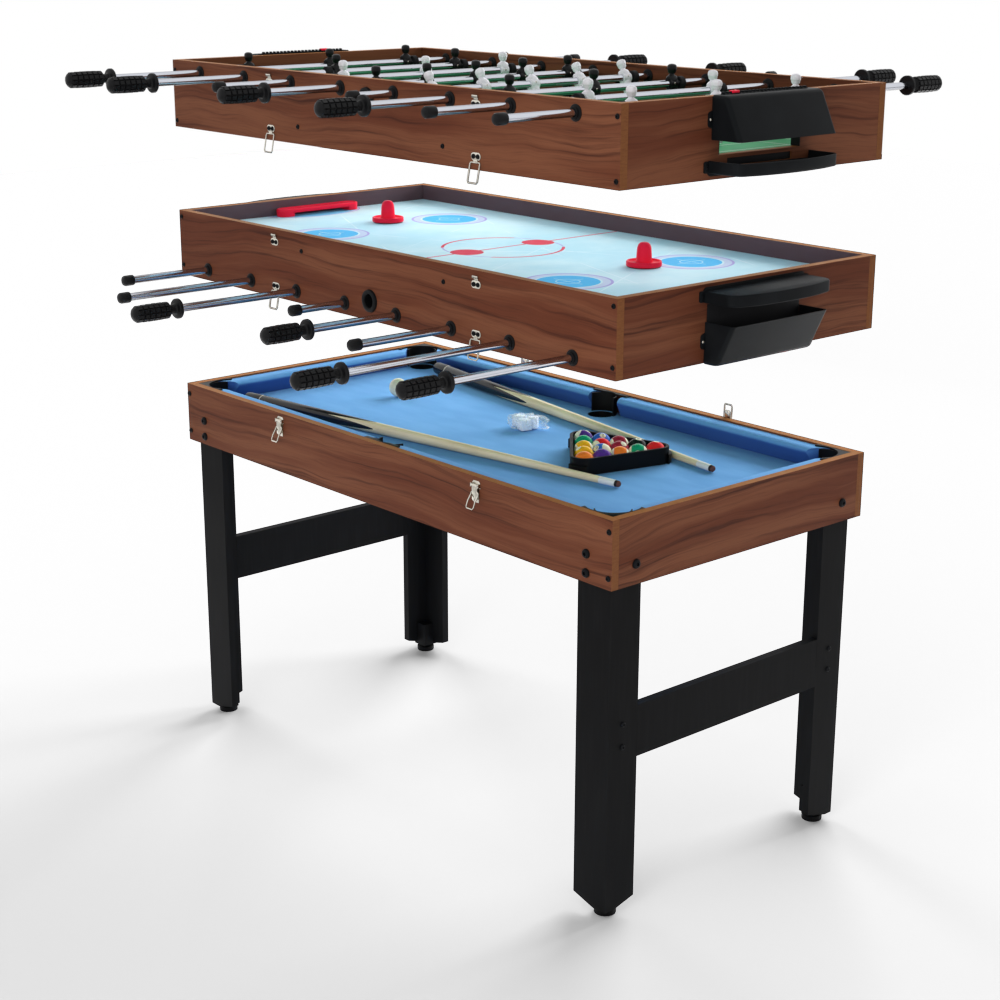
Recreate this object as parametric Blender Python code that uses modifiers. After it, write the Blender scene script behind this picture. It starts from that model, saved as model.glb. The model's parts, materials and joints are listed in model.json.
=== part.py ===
"""Multi game table: a pool table on four legs, and the two game boxes that stand on it.

Each box is one reversible tray of boards, with a table football field on one side of its
floor and a hockey rink on the other. Here one box is lifted straight up off the pool table
with its rink on top, and the other is lifted off that one with its football field on top.
X runs along the table, Y across it from the front to the rear, and Z up from the floor.
"""

import math

import bmesh
import bpy
from mathutils import Matrix, Vector

# Driving dimensions of the whole table, in metres
LENGTH = 1.21
WIDTH = 0.61
POOL_RIM_HEIGHT = 0.70
APRON_HEIGHT = 0.115
BOX_HEIGHT = 0.125
PANEL = 0.015
HOCKEY_LIFT = 0.22
FOOSBALL_LIFT = 0.16
GAP = 0.0003
OVERRUN = 0.02

# Pool bed, cushions and pockets
BED_DEPTH = 0.040
BED_THICKNESS = 0.012
CUSHION_WIDTH = 0.030
CUSHION_DROP = 0.003
POCKET_HOLE = 0.027
POCKET_LEDGE = 0.002
POCKET_WALL = 0.004
CORNER_WALL = 0.008
MOUTH_EASE = 0.011

# Legs, levelling feet and end braces
LEG_WIDTH = 0.075
LEG_DEPTH = 0.065
LEG_CHAMFER_WIDTH = 0.048
LEG_CHAMFER_HEIGHT = 0.013
FOOT_RADIUS = 0.018
FOOT_DISC = 0.009
FOOT_NECK = 0.007
FOOT_HEIGHT = 0.013
FOOT_INSET = 0.024
CORNER_BLOCK = 0.033
CORNER_BLOCK_HEIGHT = 0.050
CORNER_BLOCK_LIFT = 0.001
BRACE_HEIGHT = 0.090
BRACE_TOP = 0.368

# Toggle latches on the pool apron
LATCH_PLACE = 0.283
LATCH_DROP = 0.014
LATCH_WIDTH = 0.016
LATCH_BARREL = 0.003
LATCH_PLATE = 0.0016
LATCH_LEVER = 0.027
LATCH_REACH = 0.040
LATCH_WIRE = 0.0012

# Floor of a game box: depth under the rink's rim, and the board's thickness
RINK_DEPTH = 0.030
FLOOR_BOARD = 0.006

# Goals, puck slots and ball entries
GOAL_WIDTH = 0.190
GOAL_HEIGHT = 0.048
GOAL_ROUND = 0.018
SLOT_INSET = 0.020
SLOT_HEIGHT = 0.012
ENTRY_RADIUS = 0.013
ENTRY_DROP = 0.034

# Hood with scorer over each goal, and the ball tray under it
HOOD_MARGIN = 0.018
HOOD_REACH = 0.060
HOOD_LEDGE = 0.028
HOOD_RISE = 0.002
HOOD_DROP = 0.065
HOOD_ROUND = 0.006
HOOD_WALL = 0.0025
TRAY_MARGIN = 0.005
TRAY_LIP = 0.018
TRAY_ROUND = 0.024
TRAY_BASE = 0.010
TRAY_HEIGHT = 0.019
TRAY_WALL = 0.003
STRAP_WIDTH = 0.010
STRAP = 0.003

# Rods, handles, caps and bumpers
ROD_COUNT = 8
END_ROD_INSET = 0.095
ROD_DROP = 0.020
ROD_RADIUS = 0.00635
CAP_WALL = 0.003
CAP_LENGTH = 0.022
FLANGE_CLEARANCE = 0.003
FLANGE = 0.007
NECK_WALL = 0.0017
NECK_LENGTH = 0.015
GRIP_WALL = 0.0077
GRIP_LENGTH = 0.068
GRIP_GROOVE = 0.0018
BUMPER_WALL = 0.005
BUMPER_LENGTH = 0.012
BUSH_FLANGE = 0.003
HANDLE_REACH_SHARES = {2: 0.3852, 3: 0.2951, 5: 0.2459}
CAP_REACH_SHARES = {2: 0.2869, 3: 0.2623, 5: 0.1639}

# Players: reach of the head above the rod, clearance of the feet, width and depth
HEAD_REACH = 0.034
FOOT_CLEARANCE = 0.003
PLAYER_WIDTH = 0.028
PLAYER_DEPTH = 0.020

# What stands on each rod from left to right: players, colour, and the side of the handle
ROD_PLAYERS = (3, 2, 3, 5, 5, 3, 2, 3)
ROD_DARK = (True, True, False, True, False, True, False, False)
HANDLE_SIDE = (-1, -1, 1, -1, 1, -1, 1, 1)
PLAYER_PITCH_SHARES = {2: 0.500, 3: 0.3276, 5: 0.1948}
FOOSBALL_SHIFT_SHARES = (-0.09, 0.41, 0.0, -0.06, 0.15, 0.16, 0.03, 0.0)
HOCKEY_SHIFT_SHARES = (-0.39, -0.92, -0.96, -0.52, -0.92, -0.69, -0.81, -0.96)
FOOSBALL_TURNS_DEG = (0, 0, 0, 0, -24, 0, 0, 0)
HOCKEY_TURN_DEG = 90

# A player from foot to head: share of the height, of the width and of the depth
PLAYER_SHARES = (
    (0.00, 0.74, 0.96),
    (0.09, 0.74, 1.00),
    (0.15, 0.58, 0.56),
    (0.48, 0.80, 0.74),
    (0.80, 0.96, 0.84),
    (0.84, 0.34, 0.44),
    (0.91, 0.58, 0.78),
    (1.00, 0.36, 0.48),
)

# Accessories on the pool bed and on the rink
BALL_RADIUS = 0.019
BALL_PINCH = 0.0012
RACK_WALL = 0.006
RACK_HEIGHT = 0.030
RACK_PLACE_SHARES = (0.4173, 0.0918)
RACK_TURN_DEG = 47
CUE_BALL_SHARES = (-0.6116, 0.1443)
CUE_LENGTH = 0.914
CUE_BUTT = 0.0135
CUE_TIP = 0.0062
CUE_TIP_SHARES = ((0.6446, -0.2459), (0.7107, 0.3770))
CUE_BUTT_SHARES = ((-0.8460, -0.7420), (-0.7874, 0.7633))
PUSHER_RADIUS = 0.031
PUSHER_BASE = 0.009
PUSHER_RISE = 0.022
PUSHER_KNOB = 0.0115
PUSHER_HEIGHT = 0.042
PUSHER_SHARES = ((-0.6248, 0.0984), (0.5124, 0.1639))

# Sides of the round pieces
ROD_SIDES = 10
ROUND_SIDES = 16
PLAYER_SIDES = 6
HIDDEN_PLAYER_SIDES = 4
WIRE_SIDES = 1

# Places worked out from the driving dimensions
HALF_INNER_LENGTH = LENGTH / 2 - PANEL
HALF_INNER_WIDTH = WIDTH / 2 - PANEL
BED_TOP = POOL_RIM_HEIGHT - BED_DEPTH
BED_UNDERSIDE = BED_TOP - BED_THICKNESS
APRON_BOTTOM = POOL_RIM_HEIGHT - APRON_HEIGHT
HOCKEY_CENTRE = POOL_RIM_HEIGHT + HOCKEY_LIFT + BOX_HEIGHT / 2
FOOSBALL_CENTRE = HOCKEY_CENTRE + BOX_HEIGHT + FOOSBALL_LIFT
POCKET_BAY = POCKET_HOLE + POCKET_LEDGE
CORNER_POCKET_INSET = POCKET_BAY + CORNER_WALL
CORNER_MOUTH = CORNER_POCKET_INSET + POCKET_BAY + MOUTH_EASE
SIDE_MOUTH = POCKET_BAY + MOUTH_EASE
SLOT_WIDTH = GOAL_WIDTH - 2 * SLOT_INSET
HOOD_WIDTH = GOAL_WIDTH + 2 * HOOD_MARGIN
TRAY_WIDTH = HOOD_WIDTH + 2 * TRAY_MARGIN
TRAY_REACH = HOOD_REACH + TRAY_LIP
CAP_RADIUS = ROD_RADIUS + CAP_WALL
NECK_RADIUS = ROD_RADIUS + NECK_WALL
GRIP_RADIUS = ROD_RADIUS + GRIP_WALL
FLANGE_RADIUS = ROD_DROP - FLANGE_CLEARANCE
FIELD_TOP = RINK_DEPTH + FLOOR_BOARD
ROD_HEIGHT = BOX_HEIGHT - ROD_DROP
FOOT_REACH = ROD_HEIGHT - FIELD_TOP - FOOT_CLEARANCE
ROD_PITCH = (LENGTH - 2 * END_ROD_INSET) / (ROD_COUNT - 1)
ROD_BORE = (ROD_RADIUS + GAP) / math.cos(math.pi / ROD_SIDES)
BUMPER_RADIUS = ROD_BORE + BUMPER_WALL

WALNUT = ("walnut_laminate", (0.22, 0.10, 0.065), 0.45, 0.0)
BLACK_BOARD = ("black_board", (0.014, 0.014, 0.015), 0.5, 0.0)
BLUE_CLOTH = ("blue_cloth", (0.115, 0.34, 0.68), 0.9, 0.0)
NAVY_CUSHION = ("navy_cushion", (0.05, 0.16, 0.46), 0.85, 0.0)
RINK = ("rink_print", (0.42, 0.74, 0.86), 0.3, 0.0)
FIELD = ("field_print", (0.09, 0.42, 0.20), 0.35, 0.0)
BLACK_PLASTIC = ("black_plastic", (0.015, 0.016, 0.018), 0.45, 0.0)
BLACK_RUBBER = ("black_rubber", (0.012, 0.012, 0.012), 0.75, 0.0)
CHROME = ("chrome", (0.75, 0.76, 0.78), 0.12, 1.0)
NICKEL = ("nickel", (0.66, 0.64, 0.60), 0.25, 1.0)
MAPLE = ("maple", (0.78, 0.62, 0.38), 0.35, 0.0)
RED_PLASTIC = ("red_plastic", (0.75, 0.02, 0.05), 0.3, 0.0)
BALL_RESIN = ("ball_resin", (0.80, 0.30, 0.06), 0.15, 0.0)
IVORY = ("ivory", (0.86, 0.82, 0.66), 0.15, 0.0)

for leftover in list(bpy.data.objects):
    bpy.data.objects.remove(leftover)
table = bpy.data.collections.new("multi_game_table")
cutters = bpy.data.collections.new("cutters")
bpy.context.scene.collection.children.link(table)
bpy.context.scene.collection.children.link(cutters)
root = bpy.data.objects.new("table_frame", None)
table.objects.link(root)


def material(finish):
    """The Principled material of a finish, made once."""
    name, colour, roughness, metallic = finish
    found = bpy.data.materials.get(name)
    if found:
        return found
    made = bpy.data.materials.new(name)
    made.use_nodes = True
    shader = made.node_tree.nodes["Principled BSDF"]
    shader.inputs["Base Color"].default_value = (*colour, 1.0)
    shader.inputs["Roughness"].default_value = roughness
    shader.inputs["Metallic"].default_value = metallic
    return made


def piece(name, mesh, finish, parent=None, place=(0, 0, 0), turn=(0, 0, 0)):
    """A named sub-part, placed in its parent's frame."""
    made = bpy.data.objects.new(name, mesh)
    table.objects.link(made)
    mesh.materials.append(material(finish))
    made.parent = parent or root
    made.location = place
    made.rotation_euler = turn
    return made


def helper(name, mesh, parent=None, place=(0, 0, 0), turn=(0, 0, 0)):
    """A shape that a Boolean cuts with or joins, left out of the render."""
    made = bpy.data.objects.new(name, mesh)
    cutters.objects.link(made)
    made.hide_render = True
    made.display_type = "WIRE"
    made.parent = parent or root
    made.location = place
    made.rotation_euler = turn
    return made


def boolean(target, other, operation):
    """A Boolean with the exact solver."""
    made = target.modifiers.new(other.name, "BOOLEAN")
    made.operation = operation
    made.solver = "EXACT"
    made.object = other


def frame(name, parent=None, place=(0, 0, 0), turn=(0, 0, 0)):
    """An empty that carries a group of sub-parts."""
    made = bpy.data.objects.new(name, None)
    table.objects.link(made)
    made.parent = parent or root
    made.location = place
    made.rotation_euler = turn
    return made


def mesh_from(name, form):
    """The bmesh as a mesh, and the bmesh freed."""
    made = bpy.data.meshes.new(name)
    form.to_mesh(made)
    form.free()
    return made


def box_mesh(name, size, centre=(0, 0, 0)):
    """A block of the given size."""
    form = bmesh.new()
    bmesh.ops.create_cube(form, size=1, matrix=Matrix.Translation(centre) @ Matrix.Diagonal((*size, 1)))
    return mesh_from(name, form)


def add_peg(form, radius, length, centre, axis, sides=ROUND_SIDES):
    """A cylinder along X, Y or Z, added to the bmesh."""
    turn = {"X": Matrix.Rotation(math.pi / 2, 4, "Y"), "Y": Matrix.Rotation(math.pi / 2, 4, "X")}
    bmesh.ops.create_cone(
        form,
        cap_ends=True,
        segments=sides,
        radius1=radius,
        radius2=radius,
        depth=length,
        matrix=Matrix.Translation(centre) @ turn.get(axis, Matrix.Identity(4)),
    )


def smooth(mesh, limit_deg=40):
    """Smooth shading with edges kept sharp past the limit."""
    mesh.shade_smooth()
    mesh.set_sharp_from_angle(angle=math.radians(limit_deg))


def turned_mesh(name, profile, sides=ROUND_SIDES):
    """A solid turned round Z from (radius, height) points, listed from the bottom to the top."""
    guide = bpy.data.meshes.new(name + "_profile")
    points = [(radius, 0, height) for radius, height in reversed(profile)]
    guide.from_pydata(points, [(n, n + 1) for n in range(len(points) - 1)], [])
    made = helper(name + "_lathe", guide)
    screw = made.modifiers.new("turn", "SCREW")
    screw.steps = sides
    screw.render_steps = sides
    screw.use_merge_vertices = True
    screw.merge_threshold = 0.0001
    return solid_mesh(name, made)


def solid_mesh(name, source):
    """The evaluated object as a mesh, its loose caps welded, and the object removed."""
    graph = bpy.context.evaluated_depsgraph_get()
    made = bpy.data.meshes.new_from_object(source.evaluated_get(graph))
    made.name = name
    form = bmesh.new()
    form.from_mesh(made)
    bmesh.ops.remove_doubles(form, verts=form.verts, dist=0.000001)
    form.to_mesh(made)
    form.free()
    bpy.data.objects.remove(source)
    return made


def plate_mesh(name, outlines, thickness):
    """A flat outline in XY, with holes where outlines lie inside each other, given its thickness."""
    curve = bpy.data.curves.new(name, "CURVE")
    curve.dimensions = "2D"
    curve.fill_mode = "BOTH"
    curve.extrude = thickness / 2
    for outline in outlines:
        spline = curve.splines.new("POLY")
        spline.points.add(len(outline) - 1)
        for point, (x, y) in zip(spline.points, outline):
            point.co = (x, y, 0, 1)
        spline.use_cyclic_u = True
    source = bpy.data.objects.new(name, curve)
    cutters.objects.link(source)
    return solid_mesh(name, source)


def tube_mesh(name, points, radius, closed):
    """A wire or tube through the points."""
    curve = bpy.data.curves.new(name, "CURVE")
    curve.dimensions = "3D"
    curve.bevel_depth = radius
    curve.bevel_resolution = WIRE_SIDES
    curve.use_fill_caps = not closed
    spline = curve.splines.new("POLY")
    spline.points.add(len(points) - 1)
    for point, place in zip(spline.points, points):
        point.co = (*place, 1)
    spline.use_cyclic_u = closed
    source = bpy.data.objects.new(name, curve)
    cutters.objects.link(source)
    return solid_mesh(name, source)


def arc(centre, radius, start_deg, end_deg, steps):
    """Points along an arc in the plane."""
    angles = [math.radians(start_deg + (end_deg - start_deg) * n / steps) for n in range(steps + 1)]
    return [(centre[0] + radius * math.cos(a), centre[1] + radius * math.sin(a)) for a in angles]


def rectangle(width, depth):
    """The corners of a rectangle round the origin."""
    x, y = width / 2, depth / 2
    return [(-x, -y), (x, -y), (x, y), (-x, y)]


def aprons():
    """The four boards round the pool bed: the end boards stand between the long ones."""
    middle = POOL_RIM_HEIGHT - APRON_HEIGHT / 2
    for name, side in (("front_apron", -1), ("rear_apron", 1)):
        mesh = box_mesh(name, (LENGTH, PANEL, APRON_HEIGHT))
        piece(name, mesh, WALNUT, place=(0, side * (WIDTH - PANEL) / 2, middle))
    for name, side in (("left_apron", -1), ("right_apron", 1)):
        mesh = box_mesh(name, (PANEL, 2 * (HALF_INNER_WIDTH - GAP), APRON_HEIGHT))
        piece(name, mesh, WALNUT, place=(side * (LENGTH - PANEL) / 2, 0, middle))


def corner_pockets():
    """The centres of the corner pockets."""
    x = HALF_INNER_LENGTH - CORNER_POCKET_INSET
    y = HALF_INNER_WIDTH - CORNER_POCKET_INSET
    return [(x, y), (-x, y), (-x, -y), (x, -y)]


def side_pockets():
    """The centres of the side pockets, whose bays leave a thin wall behind them."""
    y = HALF_INNER_WIDTH - GAP - POCKET_WALL - POCKET_BAY
    return [(0, y), (0, -y)]


def pool_bed():
    """The cloth-covered board, with a hole for each of the six pockets."""
    size = (2 * (HALF_INNER_LENGTH - GAP), 2 * (HALF_INNER_WIDTH - GAP), BED_THICKNESS)
    middle = (0, 0, BED_TOP - BED_THICKNESS / 2)
    bed = piece("pool_bed", box_mesh("pool_bed", size), BLUE_CLOTH, place=middle)
    form = bmesh.new()
    for x, y in corner_pockets() + side_pockets():
        add_peg(form, POCKET_HOLE, BED_THICKNESS + OVERRUN, (x, y, 0), "Z")
    boolean(bed, helper("pocket_holes", mesh_from("pocket_holes", form), place=bed.location), "DIFFERENCE")


def cushion_outline():
    """The edge of the play area: straight noses, with a round bay at each pocket."""
    nose_x = HALF_INNER_LENGTH - GAP - CUSHION_WIDTH
    nose_y = HALF_INNER_WIDTH - GAP - CUSHION_WIDTH
    corner_x, corner_y = corner_pockets()[0]
    mouth = CORNER_MOUTH - CUSHION_WIDTH
    side_y = side_pockets()[0][1]
    side_start = math.degrees(math.asin((nose_y - side_y) / POCKET_BAY))
    quarter = [(nose_x, nose_y - mouth)]
    quarter += arc((corner_x, corner_y), POCKET_BAY, -45, 135, 8)
    quarter += [(nose_x - mouth, nose_y), (SIDE_MOUTH, nose_y)]
    quarter += arc((0, side_y), POCKET_BAY, side_start, 90, 4)
    left = [(-x, y) for x, y in reversed(quarter[:-1])]
    top = quarter + left
    return top + [(-x, -y) for x, y in top]


def cushions():
    """The six cushions and the pocket castings between them, as one ring inside the aprons."""
    height = BED_DEPTH - CUSHION_DROP - GAP
    outer = rectangle(2 * (HALF_INNER_LENGTH - GAP), 2 * (HALF_INNER_WIDTH - GAP))
    mesh = plate_mesh("cushion_rail", [outer, cushion_outline()], height)
    piece("cushion_rail", mesh, NAVY_CUSHION, place=(0, 0, BED_TOP + GAP + height / 2))


def leg(name, side_x, side_y):
    """Two boards in an L, chamfered below, with a block in their corner for the levelling foot."""
    x = side_x * (HALF_INNER_LENGTH - GAP)
    y = side_y * (HALF_INNER_WIDTH - GAP)
    top = BED_UNDERSIDE - GAP
    height = top - FOOT_HEIGHT

    def board(width):
        edge = height / 2
        return [
            (0, edge),
            (width, edge),
            (width, LEG_CHAMFER_HEIGHT - edge),
            (width - LEG_CHAMFER_WIDTH, -edge),
            (0, -edge),
        ]

    upright = math.pi / 2
    middle = FOOT_HEIGHT + height / 2
    face = plate_mesh(name, [[(-side_x * u, v) for u, v in board(LEG_WIDTH)]], PANEL)
    made = piece(name, face, BLACK_BOARD, place=(x, y - side_y * PANEL / 2, middle), turn=(upright, 0, 0))
    flank = plate_mesh(name + "_flank", [[(-side_y * u, v) for u, v in board(LEG_DEPTH)]], PANEL)
    place = (x - side_x * PANEL / 2, y, middle)
    boolean(made, helper(name + "_flank", flank, place=place, turn=(upright, 0, upright)), "UNION")
    block = box_mesh(name + "_block", (CORNER_BLOCK, CORNER_BLOCK, CORNER_BLOCK_HEIGHT))
    inset = (PANEL + CORNER_BLOCK) / 2
    middle = FOOT_HEIGHT + CORNER_BLOCK_LIFT + CORNER_BLOCK_HEIGHT / 2
    place = (x - side_x * inset, y - side_y * inset, middle)
    boolean(made, helper(name + "_block", block, place=place), "UNION")
    profile = [
        (0, 0),
        (FOOT_RADIUS, 0),
        (FOOT_RADIUS, FOOT_DISC),
        (FOOT_NECK, FOOT_DISC),
        (FOOT_NECK, FOOT_HEIGHT + FOOT_DISC),
        (0, FOOT_HEIGHT + FOOT_DISC),
    ]
    place = (x - side_x * FOOT_INSET, y - side_y * FOOT_INSET, 0)
    foot = helper(name + "_foot", turned_mesh(name + "_foot", profile), place=place)
    boolean(made, foot, "UNION")


def legs_and_braces():
    """Four legs, and at each end a brace between the flanks of the front and the rear leg."""
    for along, side_x in (("left", -1), ("right", 1)):
        for across, side_y in (("front", -1), ("rear", 1)):
            leg(f"{across}_{along}_leg", side_x, side_y)
        span = 2 * (HALF_INNER_WIDTH - GAP - LEG_DEPTH - GAP)
        mesh = box_mesh(f"{along}_brace", (PANEL, span, BRACE_HEIGHT))
        x = side_x * (HALF_INNER_LENGTH - GAP - PANEL / 2)
        piece(f"{along}_brace", mesh, BLACK_BOARD, place=(x, 0, BRACE_TOP - BRACE_HEIGHT / 2))


def latch(name, x, side_y, raised):
    """A toggle latch's lever and wire bail, hung from its pin on the face of an apron."""
    form = bmesh.new()
    add_peg(form, LATCH_BARREL, LATCH_WIDTH, (0, 0, 0), "X", ROD_SIDES)
    barrel = mesh_from(name, form)
    smooth(barrel)
    place = (x, side_y * (WIDTH / 2 + LATCH_BARREL + GAP), POOL_RIM_HEIGHT - LATCH_DROP)
    turn = (math.pi if raised else 0, 0, 0)
    made = piece(name, barrel, NICKEL, place=place, turn=turn)
    lever = box_mesh(name + "_lever", (LATCH_WIDTH / 2, LATCH_PLATE, LATCH_LEVER), (0, 0, -LATCH_LEVER / 2))
    boolean(made, helper(name + "_lever", lever, place=place, turn=turn), "UNION")
    reach = LATCH_REACH - LATCH_WIRE
    half = LATCH_WIDTH / 2 - 2 * LATCH_WIRE
    bend = half / 2
    bail = [(-half, 0, 0), (half, 0, 0), (half, 0, bend - reach)]
    bail += [(half - bend, 0, -reach), (bend - half, 0, -reach), (-half, 0, bend - reach)]
    wire = tube_mesh(name + "_bail", bail, LATCH_WIRE, closed=True)
    boolean(made, helper(name + "_bail", wire, place=place, turn=turn), "UNION")


def latches():
    """Two latches hang on the front apron, and two stand up on the rear one."""
    for along, x in (("left", -LATCH_PLACE), ("right", LATCH_PLACE)):
        latch(f"front_{along}_latch", x, -1, raised=False)
        latch(f"rear_{along}_latch", x, 1, raised=True)


def rod_places():
    """Where the rods cross the box, from left to right."""
    return [(n - (ROD_COUNT - 1) / 2) * ROD_PITCH for n in range(ROD_COUNT)]


def box_height(above_rink_rim):
    """A height above the rink's rim, in the frame of a box, whose origin is its middle."""
    return above_rink_rim - BOX_HEIGHT / 2


def long_panel(name, box, side):
    """A long side board, bored for eight rods and for the ball entry between them."""
    made = piece(name, box_mesh(name, (LENGTH, PANEL, BOX_HEIGHT)), WALNUT, box)
    made.location = (0, side * (WIDTH - PANEL) / 2, 0)
    form = bmesh.new()
    for x in rod_places():
        add_peg(form, ROD_BORE, PANEL + OVERRUN, (x, 0, box_height(ROD_HEIGHT)), "Y", ROD_SIDES)
    entry = (0, 0, box_height(BOX_HEIGHT - ENTRY_DROP))
    add_peg(form, ENTRY_RADIUS, PANEL + OVERRUN, entry, "Y")
    cutter = helper(name + "_bores", mesh_from(name + "_bores", form), box, made.location)
    boolean(made, cutter, "DIFFERENCE")


def end_panel(name, box, side):
    """An end board between the long ones, with a goal above the floor and a puck slot below it."""
    made = piece(name, box_mesh(name, (PANEL, 2 * (HALF_INNER_WIDTH - GAP), BOX_HEIGHT)), WALNUT, box)
    made.location = (side * (LENGTH - PANEL) / 2, 0, 0)
    low = box_height(FIELD_TOP)
    high = low + GOAL_HEIGHT
    half = GOAL_WIDTH / 2
    goal = [(-half, low), (half, low)]
    goal += arc((half - GOAL_ROUND, high - GOAL_ROUND), GOAL_ROUND, 0, 90, 3)
    goal += arc((GOAL_ROUND - half, high - GOAL_ROUND), GOAL_ROUND, 90, 180, 3)
    turn = (math.pi / 2, 0, math.pi / 2)
    mesh = plate_mesh(name + "_goal", [goal], PANEL + OVERRUN)
    boolean(made, helper(name + "_goal", mesh, box, made.location, turn), "DIFFERENCE")
    middle = box_height(RINK_DEPTH - SLOT_HEIGHT / 2)
    slot = box_mesh(name + "_slot", (PANEL + OVERRUN, SLOT_WIDTH, SLOT_HEIGHT), (0, 0, middle))
    boolean(made, helper(name + "_slot", slot, box, made.location), "DIFFERENCE")


def floor_board(name, finish, box):
    """The board that is the field on one face and the rink on the other."""
    size = (2 * (HALF_INNER_LENGTH - GAP), 2 * (HALF_INNER_WIDTH - GAP), FLOOR_BOARD)
    piece(name, box_mesh(name, size), finish, box, (0, 0, box_height(RINK_DEPTH + FLOOR_BOARD / 2)))


def hood_profile(wall):
    """The hood from the side, with X outward from the panel: set in by a wall for its inside."""
    rim = BOX_HEIGHT / 2
    slope = (HOOD_REACH - HOOD_LEDGE) / (HOOD_RISE + HOOD_DROP)
    low = rim - HOOD_DROP - (OVERRUN if wall else 0)
    high = rim + HOOD_RISE - wall
    inner = GAP - (OVERRUN if wall else 0)
    outer_high = HOOD_LEDGE - wall
    outer_low = outer_high + slope * (high - low)
    eased = [(outer_high + slope * HOOD_ROUND, high - HOOD_ROUND), (outer_high - HOOD_ROUND, high)]
    return [(inner, low), (outer_low, low), *eased, (inner, high)]


def tray_outline(wall):
    """The tray from above, with X outward from the panel: set in by a wall for its inside."""
    inner = GAP + wall
    reach = TRAY_REACH - wall
    half = TRAY_WIDTH / 2 - wall
    rounding = TRAY_ROUND - wall
    points = [(inner, -half)]
    points += arc((reach - rounding - TRAY_WALL, rounding - half), rounding, -90, -20, 4)
    points += [(reach, 0)]
    points += arc((reach - rounding - TRAY_WALL, half - rounding), rounding, 20, 90, 4)
    return points + [(inner, half)]


def end_unit(name, box, side):
    """The moulding outside a goal: a scorer hood over it and a ball tray below, on two straps."""
    turn_out = 0 if side > 0 else math.pi
    unit = frame(name + "_frame", box, (side * LENGTH / 2, 0, 0), (0, 0, turn_out))
    upright = (math.pi / 2, 0, 0)
    made = piece(name, plate_mesh(name, [hood_profile(0)], HOOD_WIDTH), BLACK_PLASTIC, unit, turn=upright)
    inside = plate_mesh(name + "_hollow", [hood_profile(HOOD_WALL)], HOOD_WIDTH - 2 * HOOD_WALL)
    boolean(made, helper(name + "_hollow", inside, unit, turn=upright), "DIFFERENCE")
    base = box_height(TRAY_BASE)
    tray = plate_mesh(name + "_tray", [tray_outline(0)], TRAY_HEIGHT)
    tray_piece = helper(name + "_tray", tray, unit, (0, 0, base + TRAY_HEIGHT / 2))
    dish = plate_mesh(name + "_dish", [tray_outline(TRAY_WALL)], TRAY_HEIGHT)
    dish_piece = helper(name + "_dish", dish, unit, (0, 0, base + TRAY_WALL + TRAY_HEIGHT / 2))
    boolean(tray_piece, dish_piece, "DIFFERENCE")
    boolean(made, tray_piece, "UNION")
    low = box_height(TRAY_BASE + TRAY_WALL)
    high = BOX_HEIGHT / 2
    for across, side_y in (("near", -1), ("far", 1)):
        y = side_y * (HOOD_WIDTH - STRAP_WIDTH) / 2
        strap = box_mesh(
            f"{name}_{across}_strap",
            (STRAP, STRAP_WIDTH, high - low),
            (GAP + STRAP / 2, y, (low + high) / 2),
        )
        boolean(made, helper(f"{name}_{across}_strap", strap, unit), "UNION")


def player_places(players):
    """Where the players stand along a rod, from its middle."""
    pitch = 2 * HALF_INNER_WIDTH * PLAYER_PITCH_SHARES[players]
    return [(n - (players - 1) / 2) * pitch for n in range(players)]


def bumper_place(players):
    """The middle of the bumper beside the outermost player, from the rod's middle."""
    return max(player_places(players)) + PLAYER_WIDTH / 2 + GAP + BUMPER_LENGTH / 2


def stroke(players):
    """How far a rod slides each way from the middle before its bumper meets the bush."""
    return HALF_INNER_WIDTH - BUSH_FLANGE - bumper_place(players) - BUMPER_LENGTH / 2


def players_mesh(name, players, sides):
    """A row of players on Z, feet down, lofted through their sections."""
    form = bmesh.new()
    height = FOOT_REACH + HEAD_REACH
    angles = [math.pi * (2 * n + 1) / sides for n in range(sides)]
    across = [math.sin(a) / max(math.sin(b) for b in angles) for a in angles]
    along = [math.cos(a) / max(math.cos(b) for b in angles) for a in angles]
    for y in player_places(players):
        rings = []
        for up, wide, deep in PLAYER_SHARES:
            half_width = wide * PLAYER_WIDTH / 2
            half_depth = deep * PLAYER_DEPTH / 2
            ring = []
            for u, v in zip(along, across):
                ring.append(form.verts.new((half_depth * u, y + half_width * v, up * height - FOOT_REACH)))
            rings.append(ring)
        form.faces.new(list(reversed(rings[0])))
        form.faces.new(rings[-1])
        for low, high in zip(rings, rings[1:]):
            for n in range(sides):
                after = (n + 1) % sides
                form.faces.new((low[n], low[after], high[after], high[n]))
    return mesh_from(name, form)


def rod_profile(players):
    """The rod from its cap to its handle, as (radius, height) points along Z from its middle."""
    cap_end = -(1 / 2 + CAP_REACH_SHARES[players]) * WIDTH
    flange = (1 / 2 + HANDLE_REACH_SHARES[players]) * WIDTH
    grip = flange + FLANGE + NECK_LENGTH
    grooves = 3
    rib = GRIP_LENGTH / grooves
    points = [(0, cap_end), (CAP_RADIUS, cap_end), (CAP_RADIUS, cap_end + CAP_LENGTH)]
    points += [(ROD_RADIUS, cap_end + CAP_LENGTH), (ROD_RADIUS, flange)]
    points += [(FLANGE_RADIUS, flange), (FLANGE_RADIUS, flange + FLANGE)]
    points += [(NECK_RADIUS, flange + FLANGE), (NECK_RADIUS, grip)]
    for n in range(grooves):
        start = grip + n * rib
        points += [(GRIP_RADIUS - GRIP_GROOVE, start), (GRIP_RADIUS, start + rib / 2)]
    points += [(GRIP_RADIUS - GRIP_GROOVE, grip + GRIP_LENGTH), (0, grip + GRIP_LENGTH + GRIP_GROOVE)]
    return points


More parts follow.
